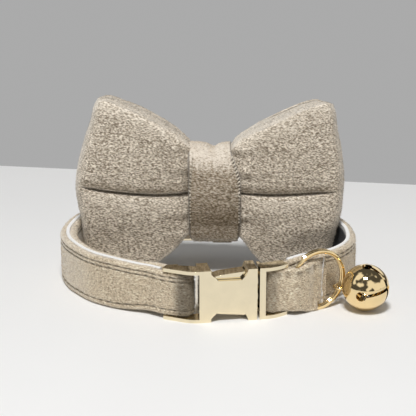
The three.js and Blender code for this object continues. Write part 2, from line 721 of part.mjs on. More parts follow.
addPiece('strap', strapSolid(), velvet);
addPiece('strap_lining', liningSolid(), webbing);
addPiece('buckle_socket', socketSolid(), gold);
addPiece('buckle_plug', plugSolid(), gold);
addPiece('slider', sliderSolid(), gold);
addPiece('split_ring', ringSolid(0), gold);
addPiece('bell_shell', bellSolid(), gold);
addPiece('bell_pellet', pelletSolid(), gold);
addPiece('bow_wing_left', bowWing(LEFT_WING), velvet);
addPiece('bow_wing_right', bowWing(RIGHT_WING), velvet);
addPiece('bow_knot', knotSolid(), velvet);
addPiece('bow_elastic', elasticSolid(), elastic);

// The origin is the middle of the footprint on the surface.
const bounds = new THREE.Box3().setFromObject(group);
group.position.set(-(bounds.min.x + bounds.max.x) / 2, -(bounds.min.y + bounds.max.y) / 2, -bounds.min.z);

export default group;
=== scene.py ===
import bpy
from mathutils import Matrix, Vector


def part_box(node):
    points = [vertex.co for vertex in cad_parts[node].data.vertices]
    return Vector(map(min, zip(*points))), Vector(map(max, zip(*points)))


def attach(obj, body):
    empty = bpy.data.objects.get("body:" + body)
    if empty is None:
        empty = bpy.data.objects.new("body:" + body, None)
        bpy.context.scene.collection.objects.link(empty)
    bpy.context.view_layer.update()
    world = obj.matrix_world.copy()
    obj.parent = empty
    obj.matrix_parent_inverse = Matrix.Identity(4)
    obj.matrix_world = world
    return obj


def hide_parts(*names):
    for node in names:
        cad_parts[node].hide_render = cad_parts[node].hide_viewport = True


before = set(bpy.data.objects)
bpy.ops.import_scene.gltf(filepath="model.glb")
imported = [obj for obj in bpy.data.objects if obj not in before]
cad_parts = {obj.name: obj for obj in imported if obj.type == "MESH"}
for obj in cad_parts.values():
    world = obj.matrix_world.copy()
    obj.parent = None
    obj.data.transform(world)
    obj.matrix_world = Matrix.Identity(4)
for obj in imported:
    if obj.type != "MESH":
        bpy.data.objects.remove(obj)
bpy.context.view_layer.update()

import math

import bmesh
import bpy
import numpy as np
from bpy.props import FloatProperty, FloatVectorProperty, IntProperty, PointerProperty
from mathutils import Matrix, Vector

bl_info = {
    "name": "Velvet Bow Tie Collar",
    "version": (1, 0, 0),
    "blender": (4, 5, 0),
    "location": "3D Viewport > Sidebar > Collar",
    "description": "Builds a velvet pet collar with a bow tie, metal buckle, split ring and bell",
    "category": "Object",
}

MM = 0.001
ROOT = "root"

# ---- sizes in millimetres ------------------------------------------------------------------
# Most are the ones that the imported frame was made with.  The crease's height, the ring's wire,
# the prongs' taper and the way the strap narrows were fitted.

STRAP_THICK = 2.6
STRAP_WIDE = 17.2
STRAP_NARROW = 14.9
LINING_THICK = 0.6
GAP = 0.3
BUCKLE_HEIGHT = 17.8
BUCKLE_YAW = math.radians(9.5)
BUCKLE_FRONT = (6.7, -44.3)
WING_CURVE = 5.0
SOCKET_WING = {"root": -9.6, "bend": math.radians(33), "tip": 3.5, "length": 13.0}
PLUG_WING = {"root": 12.45, "bend": math.radians(28), "tip": 0.6, "length": 9.0}
PRONG = {"root": 8.6, "tip": -2.5, "taper": 0.2}      # how far the plug's prongs draw in
FOLD_GAP = 5.0
OUTER_LAYER = 0.3 + STRAP_THICK / 2
INNER_LAYER = OUTER_LAYER + FOLD_GAP
FOLD_REACH = FOLD_GAP / 2 + STRAP_THICK / 2
KNOT = {"x": 2.3, "y": 3.5, "half_width": 9.5, "half_depth": 8.8}
CREASE_Z = 31.4
RING = {"x": 36.5, "y": -33.2, "z": 10.5, "yaw": math.radians(28), "radius": 9.95, "wire": 0.52,
        "flat": 1.5}
BELL = {"radius": 7.85, "wall": 0.7, "slot": 1.1, "hole": 1.7, "hole_angle": math.radians(78),
        "turn": 66}
BELL_AXIS = Vector((0.85, -0.5, 0.13)).normalized()
EYELET = {"radius": 2.0, "wire": 0.5, "wire_angle": math.radians(-24), "shift": 1.6}
SLIDER_X = -5.8
SLIDER_BAR = 1.5
LOOP_BACK = 19.0
LINING_STOP = 7.2          # how far short of the slider the lining ends
ELASTIC = {"x": 5.2, "width": 7.0, "thick": 1.1}
NARROW_END = {"plug": 7.5, "socket": 8.0, "fade": 7.0, "slow_fade": 20.0}

# How far the flap's mid-line stands outside the loop's, from the plug's fold to its sewn end.
FLAP = ((0, 5.0), (4, 6.0), (7.5, 7.8), (11, 7.5), (15.5, 5.3), (20.5, 3.1))
RETURN_NEAR_SOCKET = ((0, 5.0), (9, 4.6), (22, STRAP_THICK + GAP))

# The loop frame's origin in the row frame: the knot stands at a known place in both.
KNOT_LOW, KNOT_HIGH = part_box("bow_knot")
SHIFT = np.array([
    (KNOT_LOW.x + KNOT_HIGH.x) / 2 / MM - KNOT["x"],
    (KNOT_LOW.y + KNOT_HIGH.y) / 2 / MM - KNOT["y"],
    0.0,
])


# ---- settings ------------------------------------------------------------------------------

def colour(name, description, default):
    return FloatVectorProperty(name=name, description=description, subtype="COLOR",
                               size=3, min=0, max=1, default=default)


def length(name, description, default):
    return FloatProperty(name=name, description=description, default=default, min=0,
                         unit="LENGTH", precision=5)


class VelvetSettings(bpy.types.PropertyGroup):
    light: colour("Light pile", "Colour of pile that leans into the light", (0.95, 0.88, 0.78))
    middle: colour("Pile", "Main colour of the velvet", (0.60, 0.525, 0.43))
    dark: colour("Dark pile", "Colour of pile that leans away", (0.22, 0.18, 0.13))
    fleck: length("Fleck size", "Size of the light and dark flecks", 0.00037)
    pile_length: length("Pile length", "Length of one strand of pile", 0.00055)
    pile_width: length("Pile width", "Width of one strand of pile at its root", 0.00013)
    strands: IntProperty(name="Strands", description="Most strands on one piece", default=44000,
                         min=0)
    seed: IntProperty(name="Seed", description="Fixed seed for the pile", default=7)


class TrimSettings(bpy.types.PropertyGroup):
    gold: colour("Pale gold", "Colour of the buckle and slider", (0.86, 0.76, 0.55))
    rich_gold: colour("Rich gold", "Colour of the ring and bell", (0.92, 0.72, 0.40))
    webbing: colour("Webbing", "Colour of the webbing's cut edge", (0.97, 0.965, 0.955))
    lining: colour("Lining", "Colour of the woven lining", (0.16, 0.16, 0.165))
    thread: colour("Thread", "Colour of the sewing thread", (0.42, 0.345, 0.25))
    white_thread: colour("White thread", "Colour of the bar tack at the flap", (0.93, 0.90, 0.86))
    stitch_pitch: length("Stitch pitch", "Distance from one stitch to the next", 0.0034)
    stitch_length: length("Stitch length", "Length of the thread that shows", 0.0025)
    stitch_width: length("Stitch width", "Width of the sewing thread", 0.00034)


class CollarSettings(bpy.types.PropertyGroup):
    velvet: PointerProperty(type=VelvetSettings, name="Velvet", description="The velvet")
    trim: PointerProperty(type=TrimSettings, name="Trim", description="Metal, webbing and thread")


def settings():
    return bpy.context.scene.bow_tie_collar


# ---- small tools ---------------------------------------------------------------------------

def smoothstep(value, low, high):
    t = np.clip((np.asarray(value, float) - low) / (high - low), 0, 1)
    return t * t * (3 - 2 * t)


def in_row_frame(points):
    """Loop-frame millimetres to row-frame metres."""
    return (np.asarray(points, float) + SHIFT) * MM


def signed_volume(verts, faces):
    total = 0.0
    for face in faces:
        a = verts[face[0]]
        for i in range(1, len(face) - 1):
            total += np.dot(a, np.cross(verts[face[i]], verts[face[i + 1]]))
    return total / 6


def new_object(name, mesh):
    made = bpy.data.objects.new(name, mesh)
    bpy.context.scene.collection.objects.link(made)
    return made


def from_form(name, form):
    """A new object from a bmesh, which is freed."""
    mesh = bpy.data.meshes.new(name)
    form.to_mesh(mesh)
    form.free()
    return new_object(name, mesh)


def shade(mesh, smooth):
    mesh.polygons.foreach_set("use_smooth", [smooth] * len(mesh.polygons))


def lengths_along(points):
    """The length run at each point of a line."""
    steps = np.linalg.norm(np.diff(points, axis=0), axis=1)
    return np.concatenate([[0], np.cumsum(steps)])


def outward_along(line):
    """Unit vectors that point out of the loop, square to a flat line that runs with it."""
    ahead = np.gradient(line, axis=0)
    ahead /= np.linalg.norm(ahead, axis=1)[:, None]
    return np.stack([ahead[:, 1], -ahead[:, 0]], axis=1)


def mesh_object(name, verts, faces, uvs=None, smooth=True):
    """A closed mesh from row-frame points, turned so that its faces point outwards."""
    verts = np.asarray(verts, float)
    faces = [list(face) for face in faces]
    if signed_volume(verts, faces) < 0:
        faces = [face[::-1] for face in faces]
    mesh = bpy.data.meshes.new(name)
    mesh.from_pydata(verts.tolist(), [], faces)
    if uvs is not None:
        layer = mesh.uv_layers.new(name="UVMap")
        order = np.zeros(len(mesh.loops), int)
        mesh.loops.foreach_get("vertex_index", order)
        layer.data.foreach_set("uv", np.asarray(uvs, np.float32)[order].ravel())
    shade(mesh, smooth)
    mesh.update()
    return new_object(name, mesh)


def loft(name, rings, closed=False, smooth=True):
    """Skins rings of equal length, each closed round; ends are capped unless the rings close."""
    rings = np.asarray(rings, float)
    count, around = rings.shape[:2]
    faces = []
    for i in range(count if closed else count - 1):
        here, there = i * around, (i + 1) % count * around
        for j in range(around):
            k = (j + 1) % around
            faces.append((here + j, here + k, there + k, there + j))
    if not closed:
        faces.append(tuple(range(around)))
        faces.append(tuple(range(count * around - 1, (count - 1) * around - 1, -1)))
    along = lengths_along(rings.mean(axis=1))
    step = np.linalg.norm(np.roll(rings, -1, axis=1) - rings, axis=2).mean(axis=0)
    about = np.concatenate([[0], np.cumsum(step)[:-1]])
    uvs = np.stack(np.meshgrid(along, about, indexing="ij"), axis=-1).reshape(-1, 2)
    return mesh_object(name, rings.reshape(-1, 3), faces, uvs, smooth)


def chaikin(points, rounds):
    """Cuts the corners of closed polygons, rounding them."""
    for _ in range(rounds):
        ahead = np.roll(points, -1, axis=-2)
        cut = np.stack([points * 0.75 + ahead * 0.25, points * 0.25 + ahead * 0.75], axis=-2)
        points = cut.reshape(*points.shape[:-2], -1, points.shape[-1])
    return points


def through(points, count=None, places=None):
    """A centripetal curve through points, sampled evenly by length or at shares of its length."""
    p = np.asarray(points, float)
    p = np.vstack([2 * p[0] - p[1], p, 2 * p[-1] - p[-2]])
    t = np.concatenate([[0], np.cumsum(np.linalg.norm(np.diff(p, axis=0), axis=1) ** 0.5)])
    out = []
    for i in range(1, len(p) - 2):
        u = np.linspace(t[i], t[i + 1], 40, endpoint=i == len(p) - 3)[:, None]
        a = [(t[k + 1] - u) / (t[k + 1] - t[k]) * p[k] + (u - t[k]) / (t[k + 1] - t[k]) * p[k + 1]
             for k in (i - 1, i, i + 1)]
        b = [(t[k + 2] - u) / (t[k + 2] - t[k]) * a[n] + (u - t[k]) / (t[k + 2] - t[k]) * a[n + 1]
             for n, k in enumerate((i - 1, i))]
        share = (u - t[i]) / (t[i + 1] - t[i])
        out.append((1 - share) * b[0] + share * b[1])
    dense = np.vstack(out)
    run = lengths_along(dense)
    if places is None:
        places = np.linspace(0, 1, count)
    return np.stack([np.interp(np.asarray(places) * run[-1], run, dense[:, k])
                     for k in range(dense.shape[1])], axis=-1)


def ripple(x, y, z, scale, seed):
    """Smooth waves without a repeat that shows, from -1 to 1, for cloth that isn't quite flat."""
    rng = np.random.default_rng(seed)
    total = 0.0
    for _ in range(7):
        direction = rng.normal(size=3)
        direction *= (2 * math.pi / scale) * rng.uniform(0.6, 1.5) / np.linalg.norm(direction)
        total = total + np.sin(x * direction[0] + y * direction[1] + z * direction[2]
                               + rng.uniform(0, 2 * math.pi))
    return total / 7 * 1.6


def apply_modifiers(obj):
    """The evaluated object as its own plain mesh, with no modifier left on it."""
    graph = bpy.context.evaluated_depsgraph_get()
    graph.update()
    mesh = bpy.data.meshes.new_from_object(obj.evaluated_get(graph), depsgraph=graph)
    obj.modifiers.clear()
    old = obj.data
    obj.data = mesh
    mesh.name = obj.name
    bpy.data.meshes.remove(old)
    return obj


def remove(obj):
    mesh = obj.data
    bpy.data.objects.remove(obj)
    bpy.data.meshes.remove(mesh)


def mark(obj, name, values):
    """Writes one number a vertex for the materials to read."""
    layer = obj.data.attributes.new(name, "FLOAT", "POINT")
    layer.data.foreach_set("value", np.asarray(values, np.float32).ravel())


def mark_pile(obj, wanted):
    """Says which faces grow pile, in the order a loft makes them; its two ends grow none."""
    values = np.zeros(len(obj.data.polygons), np.float32)
    wanted = np.asarray(wanted, np.float32).ravel()
    values[:len(wanted)] = wanted
    obj.data.attributes.new("pile", "FLOAT", "FACE").data.foreach_set("value", values)


def place(obj, material, slot, *nodes):
    """Gives a finished piece its material and its body; its slot argument is not used."""
    if material is not None:
        obj.data.materials.clear()
        obj.data.materials.append(material)
    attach(obj, ROOT)
    if nodes:
        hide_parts(*nodes)
    return obj


# ---- the strap's route ---------------------------------------------------------------------

def wing_point(side, along, depth):
    """A point beside the buckle: -1 is the socket's wing and 1 the plug's."""
    spec = SOCKET_WING if side < 0 else PLUG_WING
    radius = WING_CURVE / spec["bend"]
    heading = spec["bend"] * min(max(along / WING_CURVE, 0), 1)
    straight = along - heading * radius
    out = (radius - depth) * math.sin(heading) + straight * math.cos(heading)
    back = radius - (radius - depth) * math.cos(heading) + straight * math.sin(heading)
    x, y = spec["root"] + side * out, back
    c, s = math.cos(BUCKLE_YAW), math.sin(BUCKLE_YAW)
    return BUCKLE_FRONT[0] + x * c - y * s, BUCKLE_FRONT[1] + x * s + y * c


LOOP = [
    (*wing_point(1, PLUG_WING["tip"] + FOLD_REACH, INNER_LAYER), 0),
    (*wing_point(1, PLUG_WING["length"], INNER_LAYER), 0),
    (27.5, -30.2, 0), (33.0, -27.8, 0), (38.5, -25.2, 0), (43.3, -21.7, 0),
    (47.3, -16.5, 0), (49.8, -10.0, 0), (50.5, -3.0, 0), (49.9, 2.8, 0.5),
    (47.0, 9.0, 1.6), (41.0, 14.0, 3.4), (32.0, 17.4, 5.8), (20.0, 18.7, 8.0),
    (5.0, 19.0, 9.2), (-12.0, 19.2, 8.8), (-28.0, 18.8, 6.6), (-40.0, 16.8, 3.8),
    (-47.2, 12.2, 1.8), (-50.3, 5.5, 0.6), (-50.8, -2.0, 0), (-49.0, -10.2, 0),
    (-45.0, -18.2, 0), (-39.3, -25.6, 0), (-33.0, -30.8, 0), (-26.0, -34.7, 0),
    (-19.5, -37.2, 0),
    (*wing_point(-1, SOCKET_WING["length"], OUTER_LAYER), 0),
    (*wing_point(-1, SOCKET_WING["tip"] + FOLD_REACH, OUTER_LAYER), 0),
]
LOOP_LINE = through(LOOP, count=3000)
LOOP_RUN = lengths_along(LOOP_LINE)
LOOP_LENGTH = LOOP_RUN[-1]
LOOP_AHEAD = np.gradient(LOOP_LINE, axis=0)


def station(distance, outward=0.0):
    """Place (x, y), lower edge and height of the strap at a distance round the loop."""
    distance = np.clip(np.asarray(distance, float), 0, LOOP_LENGTH)
    x, y, lift = (np.interp(distance, LOOP_RUN, LOOP_LINE[:, k]) for k in range(3))
    ax, ay = (np.interp(distance, LOOP_RUN, LOOP_AHEAD[:, k]) for k in range(2))
    size = np.hypot(ax, ay)
    narrow = 1 - np.minimum(smoothstep(distance - NARROW_END["plug"], 0, NARROW_END["fade"]),
                            smoothstep(LOOP_LENGTH - distance - NARROW_END["socket"], 0,
                                       NARROW_END["slow_fade"]))
    height = STRAP_WIDE - (STRAP_WIDE - STRAP_NARROW) * narrow
    bottom = np.maximum(lift, 0) + (BUCKLE_HEIGHT - STRAP_NARROW) / 2 * narrow
    return x + ay / size * outward, y - ax / size * outward, bottom, height


def between(rows, distance):
    """Eased steps through (distance, gap) rows."""
    value = np.full_like(np.asarray(distance, float), rows[0][1])
    for (d0, g0), (d1, g1) in zip(rows, rows[1:]):
        value = value + (g1 - g0) * smoothstep(distance, d0, d1)
    return value


def distance_behind(x):
    """How far round the loop the strap's back passes x."""
    tries = np.arange(0, LOOP_LENGTH, 0.25)
    miss = np.array(station(tries)[:2]) - np.array([[x], [LOOP_BACK]])
    return float(tries[np.argmin(np.hypot(*miss))])


SLIDER_AT = distance_behind(SLIDER_X)
LAYER_PITCH = STRAP_THICK + GAP


def return_gap(distance):
    near_socket = between(RETURN_NEAR_SOCKET, LOOP_LENGTH - distance)
    at_slider = 1 - smoothstep(np.abs(distance - SLIDER_AT), 5, 17)
    under_bar = SLIDER_BAR + STRAP_THICK + 2 * GAP
    return np.maximum(near_socket, LAYER_PITCH + (under_bar - LAYER_PITCH) * at_slider)


def fold(side, along, count):
    """Half a turn of the strap round an end bar, from the outer layer to the inner one."""
    rows = []
    for i in range(1, count):
        angle = math.pi * i / count
        depth = OUTER_LAYER + FOLD_GAP / 2 - math.cos(angle) * FOLD_GAP / 2
        x, y = wing_point(side, along - math.sin(angle) * FOLD_GAP / 2, depth)
        rows.append((x, y, (BUCKLE_HEIGHT - STRAP_NARROW) / 2, STRAP_NARROW))
    return rows


def spaced(start, end, step):
    return np.linspace(start, end, int(math.ceil(abs(end - start) / step)) + 1)


# ---- materials -----------------------------------------------------------------------------

def link(tree, source, target):
    tree.links.new(source, target)


def add(tree, kind, inputs=None, **attributes):
    """A node with its attributes and unlinked inputs set."""
    node = tree.nodes.new(kind)
    for name, value in attributes.items():
        setattr(node, name, value)
    for name, value in (inputs or {}).items():
        if isinstance(value, bpy.types.NodeSocket):
            link(tree, value, node.inputs[name])
        else:
            node.inputs[name].default_value = value
    return node


def maths(tree, operation, *values, clamp=False):
    """The result of a Math node."""
    node = add(tree, "ShaderNodeMath", dict(enumerate(values)), operation=operation,
               use_clamp=clamp)
    return node.outputs[0]


def remap(tree, value, low, high, to_low=0.0, to_high=1.0):
    """A value carried from one range to another and held inside it."""
    return add(tree, "ShaderNodeMapRange", {
        "Value": value, "From Min": low, "From Max": high, "To Min": to_low,
        "To Max": to_high}).outputs["Result"]


def mixed(tree, share, first, second, how="MIX"):
    """Two colours mixed; 6, 7 and 2 are the places of the node's colour sockets."""
    node = add(tree, "ShaderNodeMix", {0: share, 6: first, 7: second}, data_type="RGBA",
               blend_type=how)
    return node.outputs[2]


def shader_group(name, inputs, outputs):
    """An empty node group with named inputs (name, kind, default) and outputs (name, kind)."""
    group = bpy.data.node_groups.new(name, "ShaderNodeTree")
    for label, kind, default in inputs:
        socket = group.interface.new_socket(label, in_out="INPUT", socket_type=kind)
        if default is not None:
            socket.default_value = default
    for label, kind in outputs:
        group.interface.new_socket(label, in_out="OUTPUT", socket_type=kind)
    return group, group.nodes.new("NodeGroupInput"), group.nodes.new("NodeGroupOutput")


# The velvet's flecks: how two layers of them lean and how each is drawn out, how far their tone
# and its slow drift reach, and how much light the painted shade of a seam, groove or fold keeps.
FLECK_LEANS = (0.45, -0.15)
FLECK_SHAPE = (2.6, 1.3, 0.85)
TONE_RANGE = 0.19
DRIFT = 0.04
DRIFT_SCALE = 95.0
SEAM_SHADE = 0.34


def velvet_group():
    """Short pile: light and dark flecks with a slow drift of tone, painted light and shade added to
    that tone, painted shade along seams, grooves and folds, and the pile's height.
    """
    group, start, end = shader_group(
        "Velvet pile",
        [("Vector", "NodeSocketVector", None), ("Fleck scale", "NodeSocketFloat", 1200.0),
         ("Light", "NodeSocketColor", (1, 1, 1, 1)),
         ("Middle", "NodeSocketColor", (0.5, 0.5, 0.5, 1)),
         ("Dark", "NodeSocketColor", (0.2, 0.2, 0.2, 1)), ("Contrast", "NodeSocketFloat", 1.0),
         ("Seam", "NodeSocketFloat", 0.0), ("Light_and_shade", "NodeSocketFloat", 0.0)],
        [("Color", "NodeSocketColor"), ("Height", "NodeSocketFloat")])
    given = start.outputs
    flecks = []
    for lean in FLECK_LEANS:
        brushed = add(group, "ShaderNodeMapping", {
            "Vector": given["Vector"], "Scale": FLECK_SHAPE, "Rotation": (0.0, lean, 0.0)},
            vector_type="TEXTURE")
        flecks.append(add(group, "ShaderNodeTexNoise", {
            "Vector": brushed.outputs["Vector"], "Scale": given["Fleck scale"], "Detail": 2.0,
            "Roughness": 0.6, "Distortion": 0.35}).outputs["Fac"])
    drift = add(group, "ShaderNodeTexNoise", {
        "Vector": given["Vector"], "Scale": DRIFT_SCALE, "Detail": 2.0, "Roughness": 0.5})
    centred = maths(group, "SUBTRACT", maths(group, "ADD", *flecks), 1.0)
    tone = remap(group, maths(group, "MULTIPLY", centred, given["Contrast"]),
                 -TONE_RANGE, TONE_RANGE)
    sway = remap(group, drift.outputs["Fac"], 0.3, 0.7, -DRIFT, DRIFT)
    # The third input adds painted light and shade to the tone.
    level = maths(group, "ADD", maths(group, "ADD", tone, sway), given["Light_and_shade"], clamp=True)
    lower = mixed(group, remap(group, level, 0.05, 0.5), given["Dark"], given["Middle"])
    pile = mixed(group, remap(group, level, 0.55, 1.0), lower, given["Light"])
    # Painted shade: the colour is darkened where a seam, a stitch groove or a fold is marked.
    shade = remap(group, given["Seam"], 0.0, 1.0, 1.0, SEAM_SHADE)
    link(group, mixed(group, 1.0, pile, shade, "MULTIPLY"), end.inputs["Color"])
    link(group, level, end.inputs["Height"])
    return group


def weave_group():
    """A plain weave on UV: threads over and under in both directions."""
    group, start, end = shader_group(
        "Woven threads",
        [("Vector", "NodeSocketVector", None), ("Threads per metre", "NodeSocketFloat", 2200.0),
         ("Color", "NodeSocketColor", (0.5, 0.5, 0.5, 1)), ("Shade", "NodeSocketFloat", 0.5)],
        [("Color", "NodeSocketColor"), ("Height", "NodeSocketFloat")])
    waves = [add(group, "ShaderNodeTexWave", {
        "Vector": start.outputs["Vector"], "Scale": start.outputs["Threads per metre"],
        "Distortion": 0.6, "Detail": 1.0, "Detail Scale": 0.6},
        wave_type="BANDS", bands_direction=direction, wave_profile="SIN").outputs["Fac"]
        for direction in ("X", "Y")]
    height = maths(group, "MULTIPLY", *waves)
    shade = remap(group, height, 0.0, 0.7, start.outputs["Shade"], 1.0)
    link(group, mixed(group, 1.0, start.outputs["Color"], shade, "MULTIPLY"),
         end.inputs["Color"])
    link(group, height, end.inputs["Height"])
    return group


def plating_group():
    """Polished plating: faint hairline marks and a slow change of tone and gloss."""
    group, start, end = shader_group(
        "Polished plating",
        [("Vector", "NodeSocketVector", None), ("Color", "NodeSocketColor", (0.8, 0.7, 0.5, 1)),
         ("Gloss", "NodeSocketFloat", 0.08)],
        [("Color", "NodeSocketColor"), ("Roughness", "NodeSocketFloat"),
         ("Height", "NodeSocketFloat")])
    cloud = add(group, "ShaderNodeTexNoise", {
        "Vector": start.outputs["Vector"], "Scale": 240.0, "Detail": 3.0,
        "Roughness": 0.6}).outputs["Fac"]
    stretched = add(group, "ShaderNodeMapping", {
        "Vector": start.outputs["Vector"], "Scale": (0.25, 1.0, 3.0)})
    hairs = add(group, "ShaderNodeTexNoise", {
        "Vector": stretched.outputs["Vector"], "Scale": 3000.0, "Detail": 2.0, "Roughness": 0.6})
    rough = maths(group, "MULTIPLY", remap(group, cloud, 0.3, 0.7, 0.8, 1.35),
                  start.outputs["Gloss"])
    tone = remap(group, cloud, 0.3, 0.7, 0.94, 1.0)
    link(group, mixed(group, 1.0, start.outputs["Color"], tone, "MULTIPLY"), end.inputs["Color"])
    link(group, rough, end.inputs["Roughness"])
    link(group, maths(group, "MULTIPLY_ADD", cloud, 10.0, hairs.outputs["Fac"]),
         end.inputs["Height"])
    return group


def group_named(name, builder):
    return bpy.data.node_groups.get(name) or builder()


def material(name, group, inputs, coordinates="Object", bump=0.0001, bump_strength=1.0,
             constants=None):
    """A Principled material fed by one of the groups; constants go on the shader's own sockets."""
    made = bpy.data.materials.get(name)
    if made:
        return made
    made = bpy.data.materials.new(name)
    made.use_nodes = True
    tree = made.node_tree
    tree.nodes.clear()
    where = add(tree, "ShaderNodeTexCoord")
    pattern = add(tree, "ShaderNodeGroup", node_tree=group)
    link(tree, where.outputs[coordinates], pattern.inputs["Vector"])
    for label, value in inputs.items():
        pattern.inputs[label].default_value = value
    shader = add(tree, "ShaderNodeBsdfPrincipled", constants)
    out = add(tree, "ShaderNodeOutputMaterial")
    link(tree, pattern.outputs["Color"], shader.inputs["Base Color"])
    # Vertex attributes of painted shade (seams, grooves, folds) and of painted light and shade feed
    # the group's inputs of the same name.
    for label in ("Seam", "Light_and_shade"):
        if label in pattern.inputs:
            light_and_shade_attribute = add(tree, "ShaderNodeAttribute", attribute_name=label.lower())
            link(tree, light_and_shade_attribute.outputs["Fac"], pattern.inputs[label])
    if "Roughness" in pattern.outputs:
        link(tree, pattern.outputs["Roughness"], shader.inputs["Roughness"])
    relief = add(tree, "ShaderNodeBump", {"Strength": bump_strength, "Distance": bump,
                                          "Height": pattern.outputs["Height"]})
    link(tree, relief.outputs["Normal"], shader.inputs["Normal"])
    link(tree, shader.outputs["BSDF"], out.inputs["Surface"])
    return made


EDGE_THREAD_COLOUR = (0.92, 0.83, 0.69)
ELASTIC_COLOUR = (0.62, 0.54, 0.43)


def opaque(rgb):
    return (*rgb, 1.0)


# How far each piece's flecks stand out, the tint of its light pile and the tint of the rest.
VELVETS = {
    "strap": ("Velvet pressed flat", 0.62, (1.1, 1.06, 0.98), (1.12, 1.06, 0.95)),
    "bow": ("Velvet", 1.3, (1.02, 1.01, 0.99), (1.0, 0.98, 0.95)),
    # The knot's copy is darker: its pile is brushed down, and the darker look that gives it is
    # painted shade.
    "knot": ("Velvet brushed down, painted shade", 1.0, (0.88, 0.87, 0.86), (0.76, 0.70, 0.61)),
}
PAINTED_SHEEN = (0.95, 0.90, 0.82)      # painted sheen: the velvet's colour where it is seen edge on


def velvet_material(piece="bow"):
    """Velvet: flecked pile with a painted sheen that pales it where it is seen edge on."""
    name, contrast, light_tint, tint = VELVETS[piece]
    made = bpy.data.materials.get(name)
    if made:
        return made
    look = settings().velvet

    def tinted(rgb, by):
        return opaque(min(part * share, 0.97) for part, share in zip(rgb, by))

    made = material(
        name, group_named("Velvet pile", velvet_group),
        {"Fleck scale": 1 / look.fleck, "Contrast": contrast,
         "Light": tinted(look.light, light_tint), "Middle": tinted(look.middle, tint),
         "Dark": tinted(look.dark, tint)},
        bump=0.00018, bump_strength=0.6,
        constants={"Roughness": 0.92, "Specular IOR Level": 0.15, "Sheen Weight": 0.5,
                   "Sheen Roughness": 0.4, "Sheen Tint": (1.0, 0.96, 0.9, 1.0)})
    tree = made.node_tree
    shader = tree.nodes["Principled BSDF"]
    pattern = shader.inputs["Base Color"].links[0].from_node
    seam = pattern.inputs["Seam"].links[0].from_socket
    # Painted sheen: where the surface is seen edge on its colour is mixed towards a pale tone, less
    # so in the painted shade of seams.
    edge = add(tree, "ShaderNodeLayerWeight", {"Blend": 0.5})
    sheen_share = maths(tree, "MULTIPLY", remap(tree, edge.outputs["Facing"], 0.35, 0.95, 0.0, 0.85),
                 maths(tree, "SUBTRACT", 1.0, seam, clamp=True))
    sheened_colour = mixed(tree, sheen_share, pattern.outputs["Color"], opaque(PAINTED_SHEEN))
    link(tree, sheened_colour, shader.inputs["Base Color"])
    return made


def woven_material(name, rgb, threads, shade=0.45, bump=0.00012):
    return material(
        name, group_named("Woven threads", weave_group),
        {"Threads per metre": threads, "Color": opaque(rgb), "Shade": shade},
        coordinates="UV", bump=bump,
        constants={"Roughness": 0.85, "Specular IOR Level": 0.25})


def thread_material(name, rgb):
    return material(
        name, group_named("Woven threads", weave_group),
        {"Threads per metre": 900.0, "Color": opaque(rgb), "Shade": 0.6},
        bump=0.00006, constants={"Roughness": 0.6, "Specular IOR Level": 0.35})


def gold_material(rich=False):
    trim = settings().trim
    return material(
        "Polished rich gold" if rich else "Polished pale gold",
        group_named("Polished plating", plating_group),
        {"Color": opaque(trim.rich_gold if rich else trim.gold), "Gloss": 0.06},
        bump=0.000004, bump_strength=0.3, constants={"Metallic": 1.0})


def steel_material():
    return material(
        "Brushed steel", group_named("Polished plating", plating_group),
        {"Color": (0.55, 0.55, 0.56, 1.0), "Gloss": 0.28},
        bump=0.00001, bump_strength=0.5, constants={"Metallic": 1.0})


# ---- Geometry Nodes ------------------------------------------------------------------------

def geometry_group(name, inputs):
    """A geometry tree with named inputs; returns the tree, its start and its end."""
    tree = bpy.data.node_groups.new(name, "GeometryNodeTree")
    tree.interface.new_socket("Geometry", in_out="INPUT", socket_type="NodeSocketGeometry")
    for label, kind, default in inputs:
        socket = tree.interface.new_socket(label, in_out="INPUT", socket_type=kind)
        if default is not None:
            socket.default_value = default
    tree.interface.new_socket("Geometry", in_out="OUTPUT", socket_type="NodeSocketGeometry")
    return tree, tree.nodes.new("NodeGroupInput"), tree.nodes.new("NodeGroupOutput")


def finish_tree(tree, instances, start, end):
    real = add(tree, "GeometryNodeRealizeInstances")
    link(tree, instances, real.inputs["Geometry"])
    paint = add(tree, "GeometryNodeSetMaterial")
    link(tree, real.outputs["Geometry"], paint.inputs["Geometry"])
    link(tree, start.outputs["Material"], paint.inputs["Material"])
    link(tree, paint.outputs["Geometry"], end.inputs["Geometry"])


